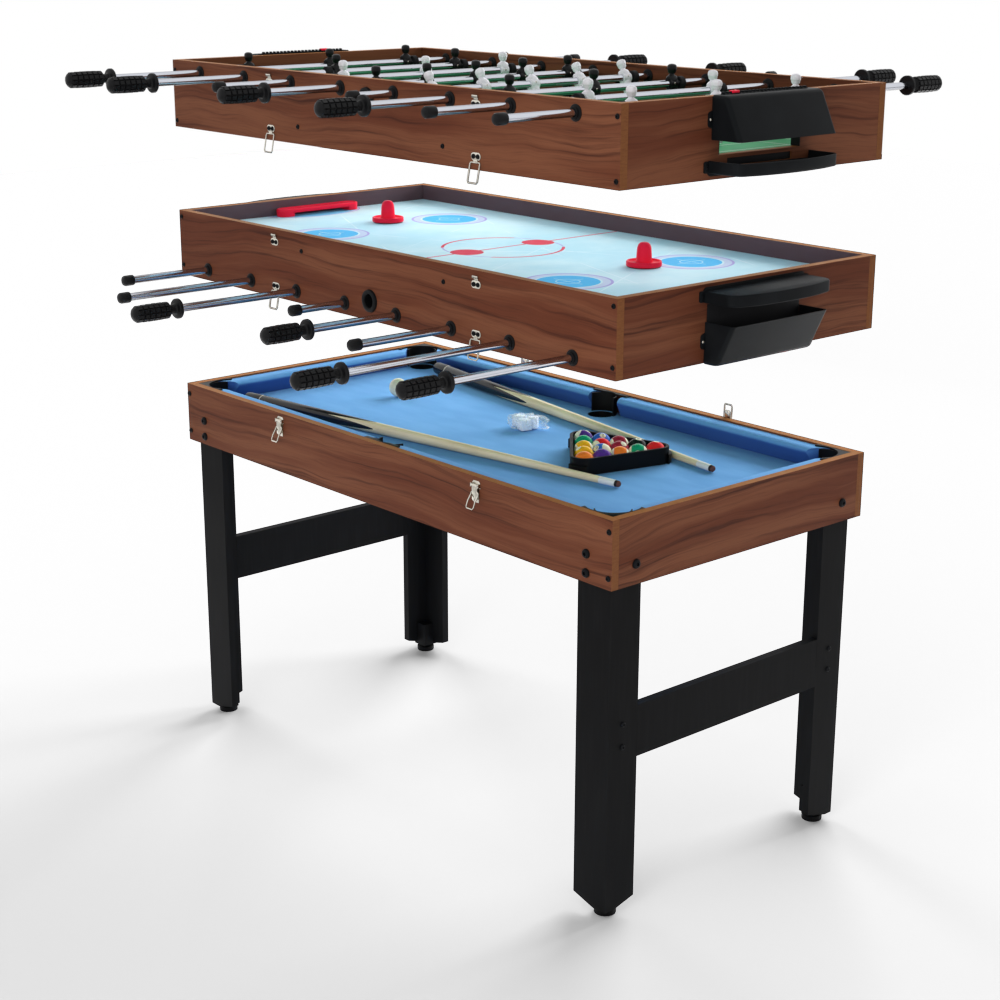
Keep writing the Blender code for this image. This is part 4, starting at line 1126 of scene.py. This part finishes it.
def hood_front(shrink):
    """The hood from the side: round the shelf's edge, then down the sloping front."""
    centre = (HOOD_LEDGE - HOOD_BEND * math.tan(HOOD_SLOPE / 2), HOOD_TOP - HOOD_BEND)
    edge = arc(centre, HOOD_BEND - shrink, 90, 90 - math.degrees(HOOD_SLOPE), 7)
    return edge + [(HOOD_REACH - shrink / math.sin(HOOD_SLOPE), HOOD_LOW)]


def hood_ring(reach, height, shrink):
    """A ring of the hood from above. Its back edge stays up at the shelf, as the hood has no back."""
    rise = min(1.0, (HOOD_TOP - shrink - height) / 0.005)
    half = HOOD_HALF - shrink - 0.005 * (1 - math.sqrt(1 - (1 - rise) ** 2))
    side = [(0.0003, half), (0.0012, half), *arc((reach - 0.0075, half - 0.0075), 0.0075, 90, 0, 5)]
    outline = side + [(x, -y) for x, y in side[::-1]]
    shelf = HOOD_TOP - HOOD_WALL
    return [(x, y, max(height, shelf) if x < 0.001 else height) for x, y in outline]


def tray_line(shrink):
    """The tray from above, with X out of the panel: straight sides, round corners, a bowed front."""
    half, bend = TRAY_HALF - shrink, 0.020 - shrink * 0.6
    corner = (TRAY_REACH - 0.012 - shrink - bend, half - bend)
    side = [(0.0003, half), (0.0012, half), *arc(corner, bend, 90, 12, 8)]
    bow = [(TRAY_REACH - shrink - 0.0110 * (n / 5) ** 2, side[-1][1] * n / 5) for n in (3.6, 2.4, 1.2, 0)]
    near = side + bow
    return near + [(x, -y) for x, y in near[-2::-1]]


def tray_ring(shrink, height):
    """A ring of the tray. Its back edge stays down at the floor, as the tray has no back."""
    back = TRAY_FLOOR + 0.0004
    return [(x, y, min(height, back) if x < 0.001 else height) for x, y in tray_line(shrink)]


def ears(shape, where, outline, depth, screw, radius, material=black_steel):
    """A screwed ear on each side of a moulding."""
    for side in (1, -1):
        ear = [(side * x, y) for x, y in outline]
        shape.slab(ear, 0.0002, depth, moulding, where @ end_wall(1, 0), edge=0.0005)
        screw_head(shape, where, (depth, side * screw[0], screw[1]), (1, 0, 0), radius, material)


for tier, box in box_frames.items():
    for end_x, label in ENDS.items():
        where = box @ Matrix.Translation((end_x * half_length, 0, 0)) @ half_turn(end_x)
        unit = [f"{tier}_{label}_goal_unit"]
        hood = Shape(f"{tier}_{label}_hood")
        rings = [hood_ring(x, z, 0.0) for x, z in hood_front(0.0)]
        rings += [hood_ring(x, z, HOOD_WALL) for x, z in hood_front(HOOD_WALL)[::-1]]
        hood.skin(rings, moulding, where)
        ears(hood, where, HOOD_EAR, 0.0026, (HOOD_HALF + 0.0048, 0.028), 0.0026, nickel)
        # The score comb: a slotted rail along the back of the shelf, with a red bead on it.
        low, high = HOOD_TOP - 0.0006, HOOD_TOP + 0.0010
        hood.block((0.0010, -COMB_HALF - 0.002, low), (0.0100, COMB_HALF + 0.002, high), moulding, where)
        low, high = HOOD_TOP + 0.0006, HOOD_TOP + 0.0036
        for n in range(COMB_TEETH):
            y = n * 2 * COMB_HALF / (COMB_TEETH - 1) - COMB_HALF
            hood.block((0.0016, y - TOOTH_HALF, low), (0.0078, y + TOOTH_HALF, high), moulding, where, 0.0006)
        bead = -0.070 if end_x > 0 else -0.052
        low, high = HOOD_TOP + 0.0010, HOOD_TOP + 0.0050
        hood.block((0.0006, bead - 0.008, low), (0.0092, bead + 0.008, high), red_plastic, where, 0.0010)
        hood.done(f"{tier}_box", "black_plastic", unit, sharp_deg=40)

        tray = Shape(f"{tier}_{label}_tray")
        tray.skin([tray_ring(*shell) for shell in TRAY_SHELL], moulding, where)
        ears(tray, where, TRAY_EAR, 0.0028, (TRAY_HALF + 0.0050, (TRAY_LOW + TRAY_TOP) / 2), 0.0024)
        tray.slab(BACK_PLATE, 0.0002, 0.0020, moulding, where @ end_wall(1, 0), edge=0.0005)
        tray.done(f"{tier}_box", "black_plastic", unit, sharp_deg=40)


# Printed boards
# The floor board of each box carries a football field on one face and a hockey rink on the other,
# both printed on smooth white-edged board.

FIELD_GREEN = (0.085, 0.460, 0.205)
RINK_BLUE = (0.540, 0.780, 0.850)
RINK_PALE = (0.700, 0.870, 0.900)
LINE_WHITE = (0.86, 0.90, 0.88)
RINK_RED = (0.78, 0.022, 0.060)
LAVENDER = (0.47, 0.38, 0.72)
HALO = (0.64, 0.62, 0.82)
CREASE_STRETCH = 1.75
SKY = (0.060, 0.500, 0.860)


def ring_round(x, y, centre, radius, width):
    """1 on a circle's line."""
    return (distance(x, y, centre) - radius).line(width, 0.0006)


def disc_at(x, y, centre, radius):
    """1 inside a circle."""
    return distance(x, y, centre).fall(radius, radius + 0.0006)


FIELD_X, FIELD_Y, FIELD_LINE = 0.5775, 0.2775, 0.0022
SPOT_X, CENTRE_RING = 0.482, 0.085


def field_print(finish, x, y):
    """Green turf in faint bands, with white markings."""
    east, across = abs(x), abs(y)
    turf = finish.noise((x, y, 0.0), 340, 3)
    bands = (x * (math.pi / 0.074)).math("SINE").rise(-0.05, 0.05)
    colour = finish.mix(bands * 0.22 + turf * 0.15, FIELD_GREEN, tuple(part * 1.35 for part in FIELD_GREEN))
    inside = east.fall(FIELD_X + 0.0005, FIELD_X + 0.0015) * across.fall(FIELD_Y + 0.0005, FIELD_Y + 0.0015)
    lines = (east - FIELD_X).line(FIELD_LINE) * across.fall(FIELD_Y + 0.0010, FIELD_Y + 0.0015)
    lines = lines.largest((across - FIELD_Y).line(FIELD_LINE) * east.fall(FIELD_X + 0.0010, FIELD_X + 0.0015))
    lines = lines.largest(east.line(FIELD_LINE) * inside)
    lines = lines.largest(ring_round(x, y, (0, 0), CENTRE_RING, FIELD_LINE) * inside)
    lines = lines.largest(disc_at(x, y, (0, 0), 0.004))
    # The goal's two areas at each end: (length, half width).
    for reach, half in ((0.150, 0.165), (0.062, 0.098)):
        front = (east - (FIELD_X - reach)).line(FIELD_LINE) * across.fall(half, half + 0.001)
        length = east.rise(FIELD_X - reach - 0.001, FIELD_X - reach) * inside
        lines = lines.largest(front).largest((across - half).line(FIELD_LINE) * length)
    away = distance(east, y, (SPOT_X, 0))
    arch = (away - 0.080).line(FIELD_LINE) * east.fall(0.4265, 0.4275)
    lines = lines.largest(arch).largest(away.fall(0.0035, 0.0040))
    return finish.mix(lines, colour, LINE_WHITE)


RINK_SPOT_X, RINK_SPOT_Y, DOT_Y, RINK_RING = 0.33, 0.147, 0.086, 0.110


def rink_print(finish, x, y):
    """Pale blue ice with skate lines, red middle marks and lavender rings."""
    east = abs(x)
    frost = finish.noise((x * 1.3, y, 0.0), 3.2, 5, 0.6)
    colour = finish.mix(frost.rise(0.40, 0.66), RINK_BLUE, RINK_PALE)
    skates = None
    for turn_deg, pitch, shift in ((24, 0.23, 0.03), (-37, 0.31, 0.11), (68, 0.27, 0.05), (-72, 0.36, 0.2)):
        turn = math.radians(turn_deg)
        along = x * math.cos(turn) + y * math.sin(turn)
        bend = ((x * -math.sin(turn) + y * math.cos(turn)) * 4 + shift * 30).math("SINE") * 0.020
        stripe = ((along + bend + shift) / pitch).math("FRACT") - 0.5
        line = stripe.line(0.0035 / pitch * 0.6, 0.003)
        skates = line if skates is None else skates.largest(line)
    fade = finish.noise((x, y, 3.0), 9, 2)
    colour = finish.mix(skates * fade.rise(0.42, 0.62) * 0.55, colour, (0.92, 0.97, 1.0))
    for end_x in (RINK_SPOT_X, -RINK_SPOT_X):
        for end_y in (RINK_SPOT_Y, -RINK_SPOT_Y):
            spot = (end_x, end_y)
            colour = finish.mix(disc_at(x, y, spot, 0.0725) * 0.75, colour, HALO)
            colour = finish.mix(disc_at(x, y, spot, 0.0555), colour, SKY)
            colour = finish.mix(ring_round(x, y, spot, 0.0555, 0.0030), colour, RINK_PALE)
            colour = finish.mix(ring_round(x, y, spot, 0.073, 0.0040), colour, LAVENDER)
            colour = finish.mix(ring_round(x, y, spot, 0.020, 0.0020) * 0.6, colour, RINK_PALE)
            cross = (x - end_x).line(0.0018).largest((y - end_y).line(0.0018))
            colour = finish.mix(cross * disc_at(x, y, spot, 0.034) * 0.6, colour, RINK_PALE)
    colour = finish.mix(ring_round(x, y, (0, 0), RINK_RING, 0.0030) * 0.85, colour, LAVENDER)
    ends = ring_round(x, y, (0, 0), RINK_RING, 0.0052) * east.rise(0.066, 0.070)
    red = east.line(0.0048).largest(ends)
    for end_y in (DOT_Y, -DOT_Y):
        red = red.largest(disc_at(x, y, (0, end_y), 0.0300))
    away = distance((east - inner_length) * CREASE_STRETCH, y)
    colour = finish.mix(away.fall(0.1020, 0.1030) * 0.75, colour, SKY)
    colour = finish.mix((away - 0.1060).line(0.0060) * 0.8, colour, HALO)
    colour = finish.mix((away - 0.1100).line(0.0026), colour, LAVENDER)
    return finish.mix(red, colour, RINK_RED)


def printed_board(name, up, down):
    """A board with one print on its upper face and the other on its lower one."""
    finish = Finish(name, specular=0.07)
    x, y, z = finish.place((0, ACROSS, 0))
    up_side = finish.facing()[2]
    dust = finish.noise((x, y, 0.0), 40, 4)
    finish.set("Base Color", finish.mix(up_side.rise(-0.5, 0.5), down(finish, x, y), up(finish, x, y)))
    finish.set("Roughness", 0.34 + dust * 0.16)
    finish.bump(dust, 0.0001, 0.2)
    return finish.material


refinish("foosball_field", printed_board("field_board", field_print, rink_print))
refinish("hockey_rink", printed_board("rink_board", rink_print, field_print))


# Rods and players
# Each chromed steel tube slides through bushes in both long panels. A black cap closes one end
# and a ribbed plastic handle fits the other. Players are pinned to it, with a rubber ring beside
# the outer ones.

# Of each rod, from the left: how many players, whether they are the dark team, the handle's side.
RODS = (
    (3, True, -1), (2, True, -1), (3, False, 1), (5, True, -1),
    (5, False, 1), (3, True, -1), (2, False, 1), (3, False, 1),
)
PLAYER_PITCH = {2: 0.290, 3: 0.190, 5: 0.113}
HANDLE_REACH = {2: 0.235, 3: 0.180, 5: 0.150}
CAP_REACH = {2: 0.175, 3: 0.160, 5: 0.100}


def chromed():
    """Chromed steel tube, with a painted reflection: dark below, bright above, and a darker line along its
    very top.
    """
    finish = Finish("chrome", metallic=1.0)
    x, y, z = finish.place()
    up = finish.facing()[2]
    brushed = finish.noise((x * 150, y * 9, z * 150), 1.0, 3)
    # Painted reflection: the colour is dark where the tube faces down and bright above, with a darker painted
    # line along its very top.
    shade = finish.mix(up.rise(-0.80, -0.05), (0.075, 0.075, 0.080), (0.62, 0.64, 0.70))
    shade = finish.mix(up.rise(0.72, 1.0) * 0.7, shade, (0.26, 0.27, 0.31))
    finish.set("Base Color", finish.mix(brushed.rise(0.3, 0.8) * 0.25, shade, (0.50, 0.50, 0.52)))
    finish.set("Roughness", 0.08 + brushed * 0.10)
    finish.bump(brushed, 0.00004, 0.2)
    return finish.material


chrome = chromed()
black_grip = plastic("black_grip", (0.0040, 0.0040, 0.0045), 0.30, 0.44, specular=0.14)
dark_players = plastic("dark_players", (0.0045, 0.0045, 0.005), 0.26, 0.38, specular=0.16)
white_players = plastic("white_players", (0.86, 0.85, 0.90), 0.30, 0.42)

# Sections from the bottom up: (height from the rod, half width, half depth).
TRUNK = (
    (-0.0205, 0.0080, 0.0058), (-0.0175, 0.0096, 0.0074), (-0.0110, 0.0092, 0.0074),
    (-0.0040, 0.0088, 0.0076), (0.0030, 0.0098, 0.0084), (0.0085, 0.0112, 0.0078),
    (0.0118, 0.0108, 0.0064), (0.0140, 0.0074, 0.0052), (0.0154, 0.0046, 0.0044), (0.0176, 0.0040, 0.0042),
)
HEAD = (
    (0.0166, 0.0030, 0.0040), (0.0178, 0.0048, 0.0062), (0.0200, 0.0060, 0.0074), (0.0238, 0.0067, 0.0080),
    (0.0243, 0.0071, 0.0085), (0.0286, 0.0072, 0.0086), (0.0316, 0.0063, 0.0076), (0.0332, 0.0042, 0.0050),
    (0.0338, 0.0016, 0.0020),
)
LEG = (
    (-0.0560, 0.0038, 0.0042), (-0.0460, 0.0046, 0.0052),
    (-0.0330, 0.0048, 0.0054), (-0.0180, 0.0053, 0.0068),
)
# The arms' line, from the shoulder in front: (ahead, out to the side, height).
ARM = (
    (0.0, 0.0090, 0.0112), (0.0, 0.0112, 0.0098), (-0.0008, 0.0116, 0.0030),
    (-0.0006, 0.0116, -0.0035), (0.0020, 0.0108, -0.0078), (0.0048, 0.0098, -0.0116),
)
SLEEVE = ((0.0040, -0.0095), (0.0092, -0.0090), (0.0092, 0.0090), (0.0040, 0.0095))


def player(shape, where, material):
    """A player on the rod's axis, facing X, with Y along the rod and Z up."""

    def limb(sections, y, sides=18):
        """A rounded, slightly square limb, with its middle at a distance along the rod."""
        square = [tuple(math.copysign(abs(u) ** 0.8, u) for u in corner) for corner in circle(sides)]
        rings = [[(deep * u, y + wide * v, height) for u, v in square] for height, wide, deep in sections]
        shape.skin(rings, material, where)

    limb(TRUNK, 0.0)
    limb(HEAD, 0.0)
    for side in (1, -1):
        limb(LEG, side * 0.0047, 14)
        shape.wire([(x, side * y, z) for x, y, z in ARM], 0.0024, material, where, sides=8)
        screw_head(shape, where, (side * 0.0081, 0, 0.0004), (side, 0, 0), 0.0022, nickel, 12)
    foot_low, foot_high = (-0.0090, -0.0095, -0.0658), (0.0095, 0.0095, -0.0545)
    shape.block(foot_low, foot_high, material, where, edge=0.0018, segments=3)
    shape.turn(SLEEVE, material, where @ UPRIGHT, 20)
    nose = where @ aimed((0.0074, 0, 0.0222), (1, 0, -0.2))
    shape.turn([(0.0014, 0.0), (0.0011, 0.0014), (0, 0.0019)], material, nose, 8)


def handle(shape, where, start):
    """The handle from its flange to its rounded end, with rows of raised pads, along Z."""
    neck = start + 0.007
    grip = neck + 0.015
    flange = [(0.0066, start), (0.0160, start), (0.0170, start + 0.0010), (0.0170, start + 0.0055)]
    flange += [(0.0158, start + 0.0070), (0.0098, neck + 0.0012), (0.0080, neck + 0.0035)]
    flange += [(0.0080, grip - 0.0035), (0.0104, grip - 0.0006), (0.0112, grip)]
    shape.turn(flange, black_grip, where, sides=32)
    rows, pads = 6, 10
    length, core, pad_height = 0.0635, 0.0116, 0.0023
    pitch = length / rows
    turns = []
    for n in range(pads):
        for share, raised in ((0.0, 0), (0.12, 0), (0.20, 1), (0.92, 1)):
            turns.append((2 * math.pi * (n + share) / pads, raised))
    rings = []
    for row in range(rows):
        swell = 0.0008 * math.sin(math.pi * (row + 0.5) / rows)
        for share, raised in ((0.0, 0), (0.10, 0), (0.18, 1), (0.92, 1)):
            height = grip + (row + share) * pitch
            reach = core + swell
            ring = [(reach + (pad_height if raised and lifted else 0), a) for a, lifted in turns]
            rings.append([(r * math.cos(a), r * math.sin(a), height) for r, a in ring])
    end = grip + length
    for radius, rise in ((0.0122, 0), (0.0118, 0.0022), (0.0096, 0.0042), (0.0056, 0.0057)):
        rings.append([(radius * math.cos(a), radius * math.sin(a), end + rise) for a, lifted in turns])
    rings.append([(0, 0, end + 0.0062)])
    shape.skin(rings, black_grip, where)


def rubber_ring(shape, where):
    """The bumper beside an outer player."""
    bore, radius, half = ROD_RADIUS + 0.0003, 0.0118, 0.0060
    profile = [(bore, -half), (radius - 0.0012, -half), (radius, 0.0012 - half), (radius, half - 0.0012)]
    profile += [(radius - 0.0012, half), (bore, half), (bore, -half)]
    shape.turn(profile, black_rubber, where, sides=28)


slides = {joint["name"]: joint for joint in frame["joints"]}
for tier, box in box_frames.items():
    upper = tier == "foosball"
    for n, (players, dark, side) in enumerate(RODS):
        rod = f"{tier}_rod_{n + 1}"
        low, high = slides[rod + "_slide"]["range_m"]
        middle = -(low + high) / 2 * (1 if upper else -1)
        # The hockey box's players lie flat under the rink, and one middle rod is turned a little.
        tip_deg = (-24 if n == 4 else 0) if upper else 90
        axis = box @ Matrix.Translation((ROD_X[n], middle, ROD_HEIGHT))
        lathe = axis @ Matrix.Rotation(-side * math.pi / 2, 4, "X")
        flange = half_width + HANDLE_REACH[players]
        cap = -(half_width + CAP_REACH[players])
        bar = Shape(rod + "_set")
        tube = [(ROD_RADIUS - 0.0006, cap + 0.004), (ROD_RADIUS, cap + 0.0045), (ROD_RADIUS, flange + 0.010)]
        bar.turn(tube, chrome, lathe, 28)
        profile = [(0, cap), (0.0045, cap + 0.0003), (0.0078, cap + 0.0016), (0.0092, cap + 0.0042)]
        profile += [(0.0093, cap + 0.0190), (0.0089, cap + 0.0208), (0.0078, cap + 0.0218)]
        profile += [(0.0064, cap + 0.0220)]
        bar.turn(profile, black_grip, lathe, 28)
        handle(bar, lathe, flange)
        outermost = (players - 1) / 2 * PLAYER_PITCH[players]
        for k in range(players):
            turned = axis @ Matrix.Rotation(math.radians(tip_deg), 4, "Y")
            turned = turned @ Matrix.Translation((0, k * PLAYER_PITCH[players] - outermost, 0))
            player(bar, turned @ half_turn(1 if dark else -1), dark_players if dark else white_players)
        bumpers = Shape(f"{tier}_bumpers_{n + 1}") if upper else bar
        for end in (1, -1):
            rubber_ring(bumpers, axis @ aimed((0, end * (outermost + 0.0203), 0), (0, 1, 0)))
        if upper:
            bumpers.done(f"foosball_slider_{n + 1}", "black_rubber", [f"foosball_bumper_{n + 1}"])
        bar.done(rod, "chrome", [rod])


# Pushers
# Two red moulded plastic pushers stand on the rink: a wide foot with a raised rim, and a domed
# grip on it.

PUSHER = (
    (0, 0.0012), (0.0298, 0.0012), (0.0308, 0.0020), (0.0310, 0.0034), (0.0308, 0.0088), (0.0300, 0.0099),
    (0.0286, 0.0100), (0.0276, 0.0092), (0.0264, 0.0074), (0.0180, 0.0068), (0.0150, 0.0080),
    (0.0137, 0.0120), (0.0127, 0.0285), (0.0120, 0.0335), (0.0102, 0.0380), (0.0070, 0.0409),
    (0.0034, 0.0419), (0, 0.0420),
)
felt = cloth("black_felt", False, (0.006, 0.006, 0.007), (0.012, 0.012, 0.013))
for name in ("left_pusher", "right_pusher"):
    low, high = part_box(name)
    grip = Shape(name + "_moulding")
    place = Matrix.Translation(((low.x + high.x) / 2, (low.y + high.y) / 2, low.z))
    grip.turn(PUSHER, red_plastic, place, sides=56)
    grip.turn([(0, 0.0002), (0.0294, 0.0002), (0.0296, 0.0011), (0, 0.0011)], felt, place, sides=56)
    grip.done(name, "red_plastic", [name])


# Floor, light and camera
# The photograph is a cut-out on white. The floor shows only what shades it, large soft lamps
# stand in for the studio, and the camera has the photograph's angle.

stage_finish = Finish("studio_floor", roughness=0.9, specular=0.0)
stage_finish.set("Base Color", (0.93, 0.93, 0.93))
FLOOR_HALF, FLOOR_HEIGHT = 9, -0.0004
floor_signs = ((-1, -1), (1, -1), (1, 1), (-1, 1))
floor_corners = [(FLOOR_HALF * x, FLOOR_HALF * y, FLOOR_HEIGHT) for x, y in floor_signs]
floor_mesh = bpy.data.meshes.new("floor")
floor_mesh.from_pydata(floor_corners, [], [(0, 1, 2, 3)])
floor_mesh.materials.append(stage_finish.material)
floor = bpy.data.objects.new("floor", floor_mesh)
bpy.context.scene.collection.objects.link(floor)
floor.is_shadow_catcher = True
floor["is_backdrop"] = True

# The white surroundings light the object less than they show to the camera and in reflections.
AMBIENT = 0.44
world = bpy.data.worlds.new("studio")
bpy.context.scene.world = world
world.use_nodes = True
sky = Nodes(world.node_tree)
camera_ray, through, glossy = [
    sky.node("ShaderNodeLightPath", output=f"Is {kind} Ray") for kind in ("Camera", "Transmission", "Glossy")
]
seen = camera_ray.largest(through).largest(glossy)
background = sky.tree.nodes["Background"]
sky.feed(background.inputs["Color"], (1, 1, 1))
sky.feed(background.inputs["Strength"], AMBIENT + seen * (1 - AMBIENT))


def lamp(name, place, target, size, watts):
    """A soft box aimed at a point."""
    light = bpy.data.lights.new(name, "AREA")
    light.shape = "RECTANGLE"
    light.size, light.size_y = size
    light.energy = watts
    made = bpy.data.objects.new(name, light)
    bpy.context.scene.collection.objects.link(made)
    made.location = place
    made.rotation_euler = (Vector(target) - Vector(place)).to_track_quat("-Z", "Y").to_euler()
    made.visible_glossy = False
    made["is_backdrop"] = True


lamp("key_light", (0.6, -2.6, 3.4), (0, 0, 0.7), (2.4, 2.4), 22)
lamp("front_light", (2.0, -3.0, 1.25), (0, 0, 0.85), (2.2, 1.2), 52)
lamp("back_light", (-0.6, 3.0, 1.9), (0, 0, 0.95), (3.4, 1.4), 215)
lamp("left_light", (-3.0, 0.6, 1.7), (0, 0, 0.95), (1.8, 1.4), 72)

AZIMUTH_DEG, ELEVATION_DEG, ROLL_DEG = 48.806, 16.841, 0.147
DISTANCE = 3.585
azimuth, elevation, roll = map(math.radians, (AZIMUTH_DEG, ELEVATION_DEG, ROLL_DEG))
flat = math.cos(elevation)
back = Vector((math.sin(azimuth) * flat, -math.cos(azimuth) * flat, math.sin(elevation)))
right = Vector((math.cos(azimuth), math.sin(azimuth), 0))
above = back.cross(right)
across_view = right * math.cos(roll) + above * math.sin(roll)
up_view = above * math.cos(roll) - right * math.sin(roll)
camera_data = bpy.data.cameras.new("camera")
camera_data.lens = 68.217
camera = bpy.data.objects.new("camera", camera_data)
bpy.context.scene.collection.objects.link(camera)
camera.rotation_euler = Matrix((across_view, up_view, back)).transposed().to_euler()
camera.location = right * -0.0042 + Vector((0, ACROSS, 0.5347)) + back * DISTANCE
bpy.context.scene.camera = camera
bpy.context.scene.view_settings.view_transform = "Standard"

low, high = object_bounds()
